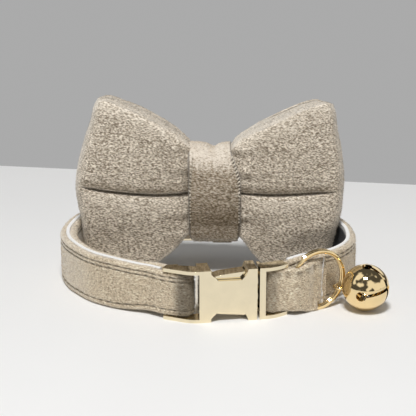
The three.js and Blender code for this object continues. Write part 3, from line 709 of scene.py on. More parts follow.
def stitch_tree():
    """Short lengths of thread along a line of edges, each with round ends."""
    tree, start, end = geometry_group("Stitches along a line", [
        ("Pitch", "NodeSocketFloat", 0.004), ("Length", "NodeSocketFloat", 0.003),
        ("Width", "NodeSocketFloat", 0.0004), ("Slant", "NodeSocketFloat", 0.0),
        ("Material", "NodeSocketMaterial", None)])
    curve = add(tree, "GeometryNodeMeshToCurve", {"Mesh": start.outputs["Geometry"]})
    even = add(tree, "GeometryNodeResampleCurve", {"Curve": curve.outputs["Curve"],
                                                   "Length": start.outputs["Pitch"]}, mode="LENGTH")
    bead = add(tree, "GeometryNodeMeshUVSphere", {"Segments": 6, "Rings": 6, "Radius": 0.5})
    size = add(tree, "ShaderNodeCombineXYZ", {
        "X": start.outputs["Width"], "Y": start.outputs["Width"], "Z": start.outputs["Length"]})
    slant = add(tree, "ShaderNodeCombineXYZ", {"X": start.outputs["Slant"]})
    thread = add(tree, "GeometryNodeTransform", {"Geometry": bead.outputs["Mesh"],
                                                 "Scale": size.outputs["Vector"]})
    tangent = add(tree, "GeometryNodeInputTangent")
    turn = add(tree, "FunctionNodeAlignRotationToVector",
               {"Vector": tangent.outputs["Tangent"]}, axis="Z")
    lean = add(tree, "FunctionNodeEulerToRotation", {"Euler": slant.outputs["Vector"]})
    turned = add(tree, "FunctionNodeRotateRotation", {"Rotation": turn.outputs["Rotation"],
                                                      "Rotate By": lean.outputs["Rotation"]},
                 rotation_space="LOCAL")
    laid = add(tree, "GeometryNodeInstanceOnPoints", {
        "Points": even.outputs["Curve"], "Instance": thread.outputs["Geometry"],
        "Rotation": turned.outputs["Rotation"]})
    finish_tree(tree, laid.outputs["Instances"], start, end)
    return tree


def pile_tree():
    """Strands of pile over a surface, leaning the way the velvet was brushed."""
    tree, start, end = geometry_group("Pile over a surface", [
        ("Density", "NodeSocketFloat", 1e6), ("Length", "NodeSocketFloat", 0.0005),
        ("Width", "NodeSocketFloat", 0.0001), ("Lean", "NodeSocketFloat", 0.6),
        ("Brushed", "NodeSocketVector", (1.1, 0.0, -0.55)), ("Seed", "NodeSocketInt", 0),
        ("Material", "NodeSocketMaterial", None)])
    keep = add(tree, "GeometryNodeInputNamedAttribute", {"Name": "pile"}, data_type="FLOAT")
    chosen = add(tree, "FunctionNodeCompare", {0: keep.outputs["Attribute"], 1: 0.5},
                 data_type="FLOAT", operation="GREATER_THAN")
    roots = add(tree, "GeometryNodeDistributePointsOnFaces", {
        "Mesh": start.outputs["Geometry"], "Selection": chosen.outputs["Result"],
        "Density": start.outputs["Density"], "Seed": start.outputs["Seed"]})
    jitter = add(tree, "FunctionNodeRandomValue", {0: (-1.0, -1.0, -1.0), 1: (1.0, 1.0, 1.0),
                                                   "Seed": start.outputs["Seed"]},
                 data_type="FLOAT_VECTOR")
    loose = add(tree, "ShaderNodeVectorMath", {
        0: jitter.outputs[0], "Scale": start.outputs["Lean"]}, operation="SCALE")
    upright = add(tree, "ShaderNodeVectorMath", {0: roots.outputs["Normal"], 1: loose.outputs[0]},
                  operation="ADD")
    brushed = add(tree, "ShaderNodeVectorMath", {
        0: upright.outputs[0], 1: start.outputs["Brushed"]}, operation="ADD")
    turn = add(tree, "FunctionNodeAlignRotationToVector", {"Vector": brushed.outputs[0]}, axis="Z")
    strand = add(tree, "GeometryNodeMeshCone", {
        "Vertices": 3, "Radius Top": 0.0, "Radius Bottom": start.outputs["Width"],
        "Depth": start.outputs["Length"]}, fill_type="NGON")
    uneven = add(tree, "FunctionNodeRandomValue", {2: 0.55, 3: 1.2, "Seed": start.outputs["Seed"]},
                 data_type="FLOAT")
    grown = add(tree, "GeometryNodeInstanceOnPoints", {
        "Points": roots.outputs["Points"], "Instance": strand.outputs["Mesh"],
        "Rotation": turn.outputs["Rotation"], "Scale": uneven.outputs[1]})
    finish_tree(tree, grown.outputs["Instances"], start, end)
    return tree


def run_tree(obj, tree, values):
    """Runs a geometry tree on an object and leaves the result as its plain mesh."""
    step = obj.modifiers.new(tree.name, "NODES")
    step.node_group = tree
    for item in tree.interface.items_tree:
        if item.item_type == "SOCKET" and item.in_out == "INPUT" and item.name in values:
            step[item.identifier] = values[item.name]
    apply_modifiers(obj)
    if not obj.data.polygons:
        raise RuntimeError(f"{obj.name} came out empty")
    return obj


def line_object(name, lines):
    """Polylines, in loop-frame millimetres, as loose edges."""
    verts, edges = [], []
    for points in lines:
        first = len(verts)
        verts.extend(in_row_frame(points).tolist())
        edges.extend((first + i, first + i + 1) for i in range(len(points) - 1))
    mesh = bpy.data.meshes.new(name)
    mesh.from_pydata(verts, edges, [])
    return new_object(name, mesh)


def stitches(name, lines, thread, pitch, size, width, slant=0.0):
    tree = group_named("Stitches along a line", stitch_tree)
    made = run_tree(line_object(name, lines), tree, {
        "Pitch": pitch, "Length": size, "Width": width, "Slant": slant, "Material": thread})
    shade(made.data, True)
    return made


MOST_STRANDS = 16e6           # strands of pile on a square metre


def grow_pile(name, surface, seed):
    """A separate piece of pile over a velvet piece's faces where its 'pile' attribute is set."""
    look = settings().velvet
    grown = new_object(name, surface.data.copy())
    faces = grown.data.polygons
    wanted = np.zeros(len(faces), np.float32)
    grown.data.attributes["pile"].data.foreach_get("value", wanted)
    area = sum(face.area for face, grows in zip(faces, wanted) if grows > 0.5)
    density = min(look.strands / area, MOST_STRANDS)
    tree = group_named("Pile over a surface", pile_tree)
    return run_tree(grown, tree, {
        "Density": density, "Length": look.pile_length, "Width": look.pile_width / 2,
        "Lean": 0.6, "Seed": look.seed + seed, "Material": surface.data.materials[0]})


# ---- strap ---------------------------------------------------------------------------------

HALF = STRAP_THICK / 2
SEWN = 0.3                    # cloth marked with more painted seam shade than this grows no pile
FLAP_PART, PLUG_FOLD, LOOP_PART, SOCKET_FOLD, RETURN_PART = range(5)
TOP_ROWS = (1.6, 2.95)        # stitch rows, down from the upper edge
LOW_ROWS = (1.95,)            # and up from the lower one
# The flap's bar tack, as (distance from the fold, start above the low edge, end below the high
# edge, lean): a long row that leans and a short one beside its foot.
BAR_TACK = ((19.3, 2.2, 0.4, 0.9), (19.0, 2.0, 12.5, 0.0))
RING_PRESS = {"depth": 1.35, "reach": 1.4}      # how the ring's wire dents the cloth


def strap_profile():
    """The strap's section as (out in mm, anchor from 0 at the low edge to 1 at the high, rise)."""
    r = 1.15
    arc = np.linspace(0, math.pi / 2, 6)
    points = []
    for a in arc[:-1]:                                    # lower outer corner
        points.append((HALF - r + r * math.sin(a), 0, r - r * math.cos(a)))
    for rise in (1.2, 1.5, 1.75, 1.95, 2.15, 2.4, 3.0, 4.2, 5.8):
        points.append((HALF, 0, rise))
    points.append((HALF, 0.5, 0))
    for rise in (6.0, 4.6, 3.8, 3.35, 3.1, 2.95, 2.8, 2.5, 2.1, 1.8, 1.6, 1.4, 1.2):
        points.append((HALF, 1, -rise))
    for a in arc[:-1]:                                    # upper outer corner
        points.append((HALF - r + r * math.cos(a), 1, -r + r * math.sin(a)))
    for a in arc[:-1]:                                    # upper inner corner
        points.append((-HALF + r - r * math.sin(a), 1, -r + r * math.cos(a)))
    for anchor, rise in ((1, -1.4), (1, -4.0), (0.5, 0), (0, 4.0), (0, 1.4)):
        points.append((-HALF, anchor, rise))
    for a in arc:                                         # lower inner corner
        points.append((-HALF + r - r * math.cos(a), 0, r - r * math.sin(a)))
    return np.array(points[:-1])


def ring_axes():
    along = np.array([math.cos(RING["yaw"]), math.sin(RING["yaw"]), 0.0])
    normal = np.array([-along[1], along[0], 0.0])
    return np.array([RING["x"], RING["y"], RING["z"]]), along, normal


def clear_of_ring(points):
    """Presses the cloth flat where the split ring lies against it."""
    centre, along, normal = ring_axes()
    away = points - centre
    side, out = away @ normal, away - np.outer(away @ normal, normal)
    radial = np.abs(np.linalg.norm(out, axis=1) - RING["radius"])
    reach = RING_PRESS["depth"] * np.sqrt(np.clip(1 - (radial / RING_PRESS["reach"]) ** 2, 0, 1))
    short = np.clip(reach - np.abs(side), 0, None)
    return points + np.outer(short * np.where(side < 0, -1, 1), normal)


def strap_mesh():
    """The velvet strap: flap, fold, loop, fold and the doubled layer up to the slider."""
    flap = spaced(FLAP[-1][0], 0, 0.8)
    loop = spaced(0, LOOP_LENGTH, 0.8)
    back = spaced(LOOP_LENGTH, SLIDER_AT - 2.4, 1.2)
    parts = [
        np.stack(station(flap, between(FLAP, flap)), axis=1),
        np.array(fold(1, PLUG_WING["tip"] + FOLD_REACH, 12)),
        np.stack(station(loop), axis=1),
        np.array(fold(-1, SOCKET_WING["tip"] + FOLD_REACH, 12)),
        np.stack(station(back, -return_gap(back)), axis=1),
    ]
    kinds = np.concatenate([np.full(len(part), k) for k, part in enumerate(parts)])
    route = np.vstack(parts)
    side = outward_along(route[:, :2])
    run = lengths_along(route[:, :2])

    profile = strap_profile()
    x, y, bottom, height = route.T
    pitch = settings().trim.stitch_pitch / MM
    beat = run + 0.5 * ripple(x, y, bottom, 11, 8)
    tug = smoothstep(np.cos(2 * math.pi * beat / pitch), -0.75, 0.2)
    out = np.repeat(profile[None, :, 0], len(route), axis=0)
    lift_low = 0.10 + 0.12 * ripple(x, y, bottom, 15, 3)
    lift_high = 0.16 * ripple(x, y, bottom, 13, 4)
    z = (bottom[:, None] + profile[:, 1] * height[:, None] + profile[:, 2]
         + (1 - profile[:, 1]) * np.maximum(lift_low, 0)[:, None]
         + profile[:, 1] * lift_high[:, None])
    face = np.abs(profile[:, 0]) > HALF * 0.98
    seam = np.zeros(len(profile))
    for rows, anchor, sign in ((TOP_ROWS, 1, -1), (LOW_ROWS, 0, 1)):
        for row in rows:
            near = np.exp(-((profile[:, 2] - sign * row) / 0.24) ** 2)
            near = near * (profile[:, 1] == anchor) * face
            out -= np.sign(out) * near[None, :] * (0.16 + 0.30 * tug)[:, None]
            seam += near * (profile[:, 0] > 0 if row != TOP_ROWS[0] else 1)
    puff = np.exp(-((profile[:, 2] + 2.3) / 0.35) ** 2) * (profile[:, 1] == 1) * face
    out += np.sign(out) * puff[None, :] * 0.07
    swell = 0.13 * ripple(x[:, None], y[:, None], z, 17, 5)
    out = out + swell * (np.abs(profile[:, 0]) > 0.5)[None, :]
    points = np.stack([x[:, None] + side[:, :1] * out, y[:, None] + side[:, 1:] * out, z], axis=-1)
    shape = points.shape
    points = clear_of_ring(points.reshape(-1, 3)).reshape(shape)
    points[..., 2] = np.maximum(points[..., 2], 0.02)
    made = loft("strap_velvet", in_row_frame(points))
    # Painted shade: the stitch rows' grooves are darkened, most where the thread pulls the cloth
    # in; the folds get painted shade below.
    depth = seam[None, :] * (0.18 + 0.95 * tug)[:, None]
    for kind, reach, shade in ((PLUG_FOLD, 1.2, 0.6), (SOCKET_FOLD, 3.6, 0.95)):
        # the folds lie in the buckle's shade, which is painted into their colour
        turned = run[kinds == kind]
        beside = np.clip(np.maximum(turned[0] - run, run - turned[-1]), 0, None)
        depth = depth + shade * (1 - smoothstep(beside, 0.0, reach))[:, None]
    depth = np.clip(depth, 0, 1)
    mark(made, "seam", depth)
    clear = (seam < SEWN) & (np.roll(seam, -1) < SEWN)
    grows = {kind: clear for kind in (FLAP_PART, PLUG_FOLD, SOCKET_FOLD)}
    grows[LOOP_PART] = (profile[:, 0] > -0.9) & clear
    grows[RETURN_PART] = profile[:, 1] * (profile[:, 2] > -1.3)
    mark_pile(made, [grows[kind] for kind in kinds[:-1]])
    return made


class COLLAR_OT_strap(bpy.types.Operator):
    """Build the velvet strap with its fold at each side of the buckle"""
    bl_idname = "collar.strap"
    bl_label = "Strap"

    def execute(self, context):
        place(strap_mesh(), velvet_material("strap"), "velvet", "strap")
        return {"FINISHED"}


def ribbon(name, distances, out_from, out_to, low, high, round_by):
    """A flat band that runs with the loop, set off from the strap's edges."""
    x, y, bottom, height = station(distances)
    side = outward_along(np.stack([x, y], axis=1))
    r = round_by
    profile = [(out_from + r, 0, low), (out_to - r, 0, low), (out_to, 0, low + r)]
    profile += [(out_to, 0.25, 0), (out_to, 0.5, 0), (out_to, 0.75, 0)]
    profile += [(out_to, 1, -high - r), (out_to - r, 1, -high), (out_from + r, 1, -high)]
    profile += [(out_from, 1, -high - r), (out_from, 0.75, 0), (out_from, 0.5, 0)]
    profile += [(out_from, 0.25, 0), (out_from, 0, low + r)]
    rings = []
    wave = 0.07 * ripple(x, y, bottom, 9, 11)
    for i in range(len(x)):
        rings.append([(x[i] + side[i, 0] * out, y[i] + side[i, 1] * out,
                       bottom[i] + anchor * height[i] + rise + anchor * wave[i])
                      for out, anchor, rise in profile])
    return loft(name, in_row_frame(rings), smooth=False)      # its edge has to stay crisp


class COLLAR_OT_lining(bpy.types.Operator):
    """Build the webbing behind the velvet and the dark woven lining on the neck side"""
    bl_idname = "collar.lining"
    bl_label = "Webbing and lining"

    def execute(self, context):
        trim = settings().trim
        run = spaced(9, LOOP_LENGTH - 8, 1.6)
        webbing = ribbon("strap_webbing", run, out_from=-HALF - 0.55, out_to=-HALF + 0.75,
                         low=0.7, high=-0.3, round_by=0.2)
        edge = woven_material("Webbing edge", trim.webbing, threads=2400.0, shade=0.9,
                              bump=0.00002)
        place(webbing, edge, "webbing")
        lining = ribbon("strap_lining_weave", spaced(9, SLIDER_AT - LINING_STOP, 1.6),
                        out_from=-HALF - GAP - LINING_THICK, out_to=-HALF - 0.38,
                        low=1.3, high=1.3, round_by=0.14)
        weave = woven_material("Woven lining", trim.lining, threads=1500.0, shade=0.4)
        place(lining, weave, "webbing", "strap_lining")
        return {"FINISHED"}


class COLLAR_OT_stitching(bpy.types.Operator):
    """Sew two rows along the strap's upper edge, one along its lower edge and the bar tack"""
    bl_idname = "collar.stitching"
    bl_label = "Strap stitching"

    def execute(self, context):
        trim = settings().trim
        run = spaced(17, LOOP_LENGTH - 10, 0.8)
        lines = []
        for rows, from_top in ((TOP_ROWS, True), (LOW_ROWS, False)):
            for row in rows:
                x, y, bottom, height = station(run, HALF - 0.1)
                z = bottom + height - row if from_top else bottom + row
                lines.append(np.stack([x, y, z], axis=1))
        flap = spaced(19.5, 3.5, 0.8)
        x, y, bottom, height = station(flap, between(FLAP, flap) + HALF - 0.1)
        for z in (bottom + 1.9, bottom + height - 1.6):
            lines.append(np.stack([x, y, z], axis=1))
        thread = thread_material("Sewing thread", trim.thread)
        sewn = stitches("strap_stitches", lines, thread, trim.stitch_pitch, trim.stitch_length,
                        trim.stitch_width)
        place(sewn, None, "velvet")

        tack = []
        for at, low, high, foot in BAR_TACK:
            x, y, bottom, height = station(np.array([at]),
                                           between(FLAP, np.array([at])) + HALF + 0.5)
            z = np.linspace(bottom[0] + low, bottom[0] + height[0] - high, 12)
            lean = np.linspace(foot, 0, 12)
            tack.append(np.stack([x[0] - lean, y[0] - 0.4 * lean, z], axis=1))
        white = thread_material("White thread", trim.white_thread)
        bar = stitches("flap_bar_tack", tack, white, pitch=0.0019, size=0.0023, width=0.0007)
        place(bar, None, "velvet")
        return {"FINISHED"}


# ---- metal ---------------------------------------------------------------------------------

def refined_copy(name, node, width):
    """A CAD node's shape, merged and with its edges rounded."""
    form = bmesh.new()
    form.from_mesh(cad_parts[node].data)
    bmesh.ops.remove_doubles(form, verts=form.verts, dist=3e-6)
    bmesh.ops.dissolve_limit(form, angle_limit=math.radians(0.8), verts=form.verts,
                             edges=form.edges)
    made = from_form(name, form)
    shade(made.data, True)
    made.data.materials.clear()
    edge = made.modifiers.new("Rounded edges", "BEVEL")
    edge.width = width
    edge.segments = 2
    edge.limit_method = "ANGLE"
    edge.angle_limit = math.radians(28)
    edge.use_clamp_overlap = True
    made.modifiers.new("Even shading", "WEIGHTED_NORMAL").keep_sharp = True
    return apply_modifiers(made)


def taper_prongs(plug):
    """Draws the plug's prongs towards its middle as they run from the cross bar to their tips."""
    middle = BUCKLE_HEIGHT / 2
    c, s = math.cos(BUCKLE_YAW), math.sin(BUCKLE_YAW)
    for vert in plug.data.vertices:
        x, y, z = np.array(vert.co) / MM - SHIFT
        along = (x - BUCKLE_FRONT[0]) * c + (y - BUCKLE_FRONT[1]) * s
        share = min(max((PRONG["root"] - along) / (PRONG["root"] - PRONG["tip"]), 0), 1)
        vert.co.z = (middle + (z - middle) * (1 - PRONG["taper"] * share)) * MM


class COLLAR_OT_buckle(bpy.types.Operator):
    """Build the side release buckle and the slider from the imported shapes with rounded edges"""
    bl_idname = "collar.buckle"
    bl_label = "Buckle and slider"

    def execute(self, context):
        gold = gold_material()
        for name, node, width in (("buckle_socket_metal", "buckle_socket", 0.00022),
                                  ("buckle_plug_metal", "buckle_plug", 0.00020),
                                  ("slider_metal", "slider", 0.00018)):
            made = refined_copy(name, node, width)
            if node == "buckle_plug":
                taper_prongs(made)
            place(made, gold, "gold_metal", node)
        return {"FINISHED"}


def tube(name, centres, normals, sides, radius, flat):
    """A wire with round ends along centres; normals give each section's second direction."""
    ahead = np.gradient(centres, axis=0)
    ahead /= np.linalg.norm(ahead, axis=1)[:, None]
    across = np.cross(normals, ahead)
    across /= np.linalg.norm(across, axis=1)[:, None]
    up = np.cross(ahead, across)
    angle = np.linspace(0, 2 * math.pi, sides, endpoint=False)
    rings = (centres[:, None] + across[:, None] * (radius * np.cos(angle))[None, :, None]
             + up[:, None] * (radius * flat * np.sin(angle))[None, :, None])
    start, end = (
        [rings[k] * s + centres[k] * (1 - s) + sign * ahead[k] * radius * d
         for s, d in ((0.92, 0.35), (0.7, 0.7), (0.3, 0.92))]
        for k, sign in ((0, -1), (-1, 1)))
    return loft(name, np.concatenate([start[::-1], rings, end]))


class COLLAR_OT_split_ring(bpy.types.Operator):
    """Wind the split ring: two turns of wire side by side with one step between them"""
    bl_idname = "collar.split_ring"
    bl_label = "Split ring"

    def execute(self, context):
        centre, along, normal = ring_axes()
        start, cross = math.radians(150), math.radians(17)
        turn = np.linspace(cross * 1.5, 4 * math.pi - cross * 1.5, 300)
        step = smoothstep(turn, 2 * math.pi - cross, 2 * math.pi + cross) - 0.5
        shift = step * 2 * RING["wire"]
        angle = turn + start
        points = (centre + np.outer(np.cos(angle) * RING["radius"], along)
                  + np.outer(np.sin(angle) * RING["radius"], [0, 0, 1]) + np.outer(shift, normal))
        spoke = np.outer(np.cos(angle), along) + np.outer(np.sin(angle), [0, 0, 1])
        made = tube("split_ring_coil", in_row_frame(points), spoke, 14, (RING["wire"] - 0.03) * MM,
                    flat=RING["flat"])
        place(made, gold_material(rich=True), "gold_metal", "split_ring")
        return {"FINISHED"}


def eyelet_centre():
    centre, along, _ = ring_axes()
    a = EYELET["wire_angle"]
    return (centre + along * RING["radius"] * math.cos(a)
            + np.array([0, 0, RING["radius"] * math.sin(a)]))


def turned_ball(name, radius, crimp, rings=44, segments=72):
    """A ball about the origin whose axis is z, with a raised crimp round its middle."""
    rows = []
    for i in range(1, rings):
        a = math.pi * i / rings - math.pi / 2
        swell = crimp * math.exp(-(a / 0.045) ** 2)
        rows.append((math.cos(a) * (radius + swell), math.sin(a) * radius))
    form = bmesh.new()
    loops = []
    for out, z in rows:
        loops.append([form.verts.new((out * math.cos(t), out * math.sin(t), z))
                      for t in np.linspace(0, 2 * math.pi, segments, endpoint=False)])
    poles = [form.verts.new((0, 0, -radius)), form.verts.new((0, 0, radius))]
    for low, high in zip(loops, loops[1:]):
        for j in range(segments):
            k = (j + 1) % segments
            form.faces.new((low[j], low[k], high[k], high[j]))
    for j in range(segments):
        k = (j + 1) % segments
        form.faces.new((poles[0], loops[0][k], loops[0][j]))
        form.faces.new((poles[1], loops[-1][j], loops[-1][k]))
    return from_form(name, form)


def bell_cutters():
    """Two crossed slots over the bell's pole with a round hole at each of their four ends."""
    form = bmesh.new()
    reach = BELL["radius"] + 1
    low = BELL["radius"] * math.cos(BELL["hole_angle"])
    for turn in (BELL["turn"], BELL["turn"] + 90):
        box = bmesh.ops.create_cube(form, size=1)["verts"]
        bmesh.ops.scale(form, vec=(2 * reach, BELL["slot"], reach - low), verts=box)
        bmesh.ops.translate(form, vec=(0, 0, (reach + low) / 2), verts=box)
        bmesh.ops.rotate(form, cent=(0, 0, 0), verts=box,
                         matrix=Matrix.Rotation(math.radians(turn), 3, "Z"))
    slots = from_form("bell_slots", form)
    form = bmesh.new()
    for turn in range(BELL["turn"], BELL["turn"] + 360, 90):
        pin = bmesh.ops.create_cone(form, cap_ends=True, segments=32, radius1=BELL["hole"],
                                    radius2=BELL["hole"], depth=5)["verts"]
        aim = (Matrix.Rotation(math.radians(turn), 3, "Z")
               @ Matrix.Rotation(BELL["hole_angle"], 3, "Y"))
        bmesh.ops.rotate(form, cent=(0, 0, 0), matrix=aim, verts=pin)
        bmesh.ops.translate(form, vec=aim @ Vector((0, 0, BELL["radius"])), verts=pin)
    return slots, from_form("bell_holes", form)


def smooth_ball_normals(mesh, centre, radius):
    """Gives the bell's outer and inner walls the normals of true spheres."""
    normals = []
    for face in mesh.polygons:
        for k in face.vertices:
            away = mesh.vertices[k].co - centre
            unit = away.normalized()
            facing = face.normal.dot((face.center - centre).normalized())
            if abs(away.length - radius) < 0.00022 and facing > 0.9:
                normals.append(unit)
            elif away.length < radius - 0.0004 and facing < -0.9:
                normals.append(-unit)
            else:
                normals.append(face.normal)
    mesh.normals_split_custom_set([tuple(n) for n in normals])


class COLLAR_OT_bell(bpy.types.Operator):
    """Build the round bell with its crimp, crossed slots, holes, eyelet and pellet"""
    bl_idname = "collar.bell"
    bl_label = "Bell"

    def execute(self, context):
        shell = turned_ball("bell_ball", BELL["radius"], 0.12)
        inner = turned_ball("bell_inside", BELL["radius"] - BELL["wall"], 0.0, 28, 48)
        tools = [inner, *bell_cutters()]
        for tool in tools:
            cut = shell.modifiers.new(tool.name, "BOOLEAN")
            cut.operation = "DIFFERENCE"
            cut.solver = "EXACT"
            cut.use_self = True
            cut.object = tool
        apply_modifiers(shell)
        for tool in tools:
            remove(tool)
        eye = eyelet_centre()
        centre = eye + np.array(BELL_AXIS) * (BELL["radius"] + EYELET["shift"])
        centre[2] = BELL["radius"] + 0.12
        aim = Vector((0, 0, 1)).rotation_difference(BELL_AXIS).to_matrix().to_4x4()
        middle = Vector(in_row_frame(centre))
        shell.data.transform(Matrix.Translation(middle) @ Matrix.Scale(MM, 4) @ aim)
        smooth_ball_normals(shell.data, middle, BELL["radius"] * MM)

        turn = np.linspace(0, 2 * math.pi, 48, endpoint=False)
        spoke = np.stack([np.cos(turn), np.sin(turn), np.zeros_like(turn)], axis=1)
        side = np.linspace(0, 2 * math.pi, 14, endpoint=False)
        out = EYELET["radius"] + EYELET["wire"] * np.cos(side)
        up = EYELET["wire"] * np.sin(side)
        rings = (eye + spoke[:, None] * out[None, :, None]
                 + np.array([0, 0, 1]) * up[None, :, None])
        loop = loft("bell_eyelet", in_row_frame(rings), closed=True)
        gold = gold_material(rich=True)
        shell.name = "bell_body"
        place(shell, gold, "gold_metal", "bell_shell")
        place(loop, gold, "gold_metal")
        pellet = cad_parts["bell_pellet"]
        pellet.data.materials.clear()
        pellet.data.materials.append(steel_material())
        return {"FINISHED"}


# ---- bow -----------------------------------------------------------------------------------

# Outlines of each wing as (across, up): from the knot along the upper edge to the corner, down
# the outer edge, and from the knot along the lower edge.  Then how far the crease rises and
# sags, where it fades out, how sharp the upper edge is, how far the corner's back is drawn in,
# and the lower lobe's fold: its place along the wing, its height and how far it stands out.
WINGS = {
    "left": {
        "top": [(-5.5, 47.0), (-8, 49.9), (-12, 53.3), (-18, 57.0), (-24, 60.1), (-30, 62.7),
                (-34.5, 64.4), (-38.4, 64.0)],
        "outer": [(-38.4, 64.0), (-39.8, 61.6), (-40.9, 57.0), (-43.2, 50.6), (-44.9, 44.2),
                  (-46.3, 37.4), (-46.9, 31.2), (-46.4, 25.5), (-45.3, 20), (-44.6, 14),
                  (-43.4, 7), (-41.6, 2.2), (-39.5, 0.5)],
        "bottom": [(-5.5, 17.5), (-8, 14.3), (-11.9, 10.1), (-15.2, 7.4), (-19.9, 4.0),
                   (-24.8, 1.5), (-30, 0.4), (-35, 0.2), (-39.5, 0.5)],
        "slope": 2.3,
        "sag": 1.15,
        "crease_end": (0.84, 0.985),
        "crisp": 0.25,
        "corner_back": 0.0,
        "swell": (0.45, 0.5, 0.0),
    },
    "right": {
        "top": [(8.0, 46.6), (10.0, 49.4), (16.2, 53.4), (22.8, 56.6), (30, 59.8), (36, 62.0),
                (40.6, 63.0), (43.2, 62.2)],
        "outer": [(43.2, 62.2), (44.4, 58.6), (45.6, 51.5), (46.9, 45.5), (47.6, 41.0),
                  (48.1, 35.0), (48.0, 29.0), (47.5, 24.0), (46.5, 19.7), (45.4, 14.5),
                  (43.9, 9.0), (41.8, 3.6), (39.5, 0.6)],
        "bottom": [(9, 17), (12.2, 13.4), (16.2, 8.3), (20.5, 4.2), (27, 1.2), (34, 0.3),
                   (39.5, 0.6)],
        "slope": 1.1,
        "sag": 0.6,
        "crease_end": (0.78, 0.96),
        "crisp": 1.0,
        "corner_back": 2.6,
        "swell": (0.72, 0.62, 1.6),
    },
}
HALF_DEPTH = ((0.0, 4.4), (0.12, 6.2), (0.35, 7.7), (0.6, 7.4), (0.85, 6.0), (1.0, 4.6))
END_ROUND = 0.09

# The crease's points from above it to below: depth, how much of it the crease takes, and rise.
CREASE = ((1.04, 0.06, 1.4), (1.03, 0.16, 0.5), (1.02, 0.36, 0.12), (1.01, 0.86, -0.02),
          (1.01, 0.86, -0.3), (1.01, 0.28, -0.42), (1.02, 0.06, -0.8))


def table(rows, places):
    """Straight steps through (place, value) rows."""
    return np.interp(places, *np.array(rows, float).T)


def wing_sections(spec):
    """Sections of one wing from the knot to its outer edge, as loop-frame points."""
    s = np.concatenate([np.linspace(0, 1 - END_ROUND, 100)[:-1],
                        1 - END_ROUND + END_ROUND * np.sin(np.linspace(0, math.pi / 2 * 0.94, 13))])
    top = through(spec["top"], places=s)
    bottom = through(spec["bottom"], places=s)
    outer = through(spec["outer"][::-1], count=400)
    inner = np.array([spec["bottom"][0], spec["top"][0]], float)
    depth = table(HALF_DEPTH, s)
    last = np.clip((s - (1 - END_ROUND)) / END_ROUND, 0, 1)
    closing = np.sqrt(np.clip(1 - last ** 2, 0.0, 1))
    sections, painted_seam_shades, light_and_shade_rows = [], [], []
    for i, share in enumerate(s):
        tall = np.linalg.norm(top[i] - bottom[i])
        level = CREASE_Z + spec["slope"] * share ** 1.5 - spec["sag"] * 4 * share * (1 - share)
        c = (level - bottom[i][1]) / (top[i][1] - bottom[i][1]) * tall
        above = tall - c
        dip = 1 - smoothstep(share, *spec["crease_end"]) * 0.97
        h = depth[i]
        crisp = spec["crisp"] * smoothstep(share, 0.15, 0.6)
        upper = [(0.35, -0.25 * crisp), (0.72 + 0.08 * crisp, -0.1 - 0.55 * crisp),
                 (0.80 + 0.09 * crisp, -0.55 + 0.6 * crisp),
                 (0.88 + 0.06 * crisp, -0.3 + 0.25 * crisp)]
        control = np.array([
            *((-out * h, tall + rise) for out, rise in upper),
            (-0.98 * h, tall - 1.6 + 1.1 * crisp), (-1.0 * h, tall - 0.18 * above),
            (-1.05 * h, tall - 0.38 * above), (-1.09 * h, tall - 0.58 * above),
            (-1.09 * h, c + 0.24 * above), (-1.06 * h, c + 3.0),
            *((-(out - pull * dip) * h, c + rise) for out, pull, rise in CREASE),
            (-1.04 * h, c - 1.9), (-1.07 * h, c - 4.4), (-1.06 * h, 0.68 * c),
            (-1.0 * h, 0.5 * c), (-0.99 * h, 0.32 * c), (-0.95 * h, 0.16 * c),
            (-0.86 * h, 1.2), (-0.66 * h, 0.15), (-0.25 * h, 0.0),
            (0.25 * h, 0.0), (0.66 * h, 0.15), (0.86 * h, 1.2), (0.95 * h, 0.12 * tall),
            (1.0 * h, 0.25 * tall), (1.02 * h, 0.4 * tall), (1.03 * h, 0.55 * tall),
            (1.02 * h, 0.7 * tall), (1.0 * h, 0.85 * tall),
            (0.97 * h, tall - 1.6 + 1.1 * crisp),
            *((out * h, tall + rise) for out, rise in reversed(upper)),
        ])
        ring = chaikin(control, 2)
        across, v = ring[:, 0], ring[:, 1] / tall
        side = np.stack([np.interp(v, np.linspace(0, 1, len(outer)), outer[:, k])
                         for k in range(2)], axis=1)
        knot = inner[0] + (inner[1] - inner[0]) * v[:, None]
        edge = bottom[i] + (top[i] - bottom[i]) * v[:, None]
        corners = ((1 - share) * knot
                   + share * (outer[0] + (outer[-1] - outer[0]) * v[:, None]))
        flat = edge + (1 - share) * knot + share * side - corners
        flat = np.where(v[:, None] > 1, edge, flat)
        x, z = flat[:, 0], flat[:, 1]
        behind = np.clip(across / h, 0, 1) * smoothstep(v, 0.5, 1.0) * smoothstep(share, 0.55, 1.0)
        x = x - np.sign(x) * spec["corner_back"] * behind
        z = z - 0.15 * spec["corner_back"] * behind
        y = across * closing[i]
        sections.append(np.stack([x, y, z], axis=1))
        # Painted shade along the seams at the upper edge on front and back, where the edge is
        # crisp.
        line = spec["crisp"] * smoothstep(share, 0.2, 0.5)
        gap = np.min([np.hypot(*(ring - control[k]).T) for k in (1, len(control) - 2)], axis=0)
        painted_seam_shades.append(line * np.exp(-(gap / 0.5) ** 2))
        # Painted light and shade: lighter along the upper part of the front and back faces, darker
        # on the upper lobe's lip just above the crease, lighter on the lower lobe's top below it.
        light_and_shade_rows.append(0.22 * smoothstep(v, 0.86, 1.0) * (np.abs(across) > 0.3 * h)
                    - 0.30 * dip * np.exp(-((ring[:, 1] - c - 1.2) / 1.6) ** 2)
                    + 0.16 * dip * np.exp(-((ring[:, 1] - c + 3.2) / 2.6) ** 2))
    return s, np.array(sections), np.array(painted_seam_shades), np.array(light_and_shade_rows)


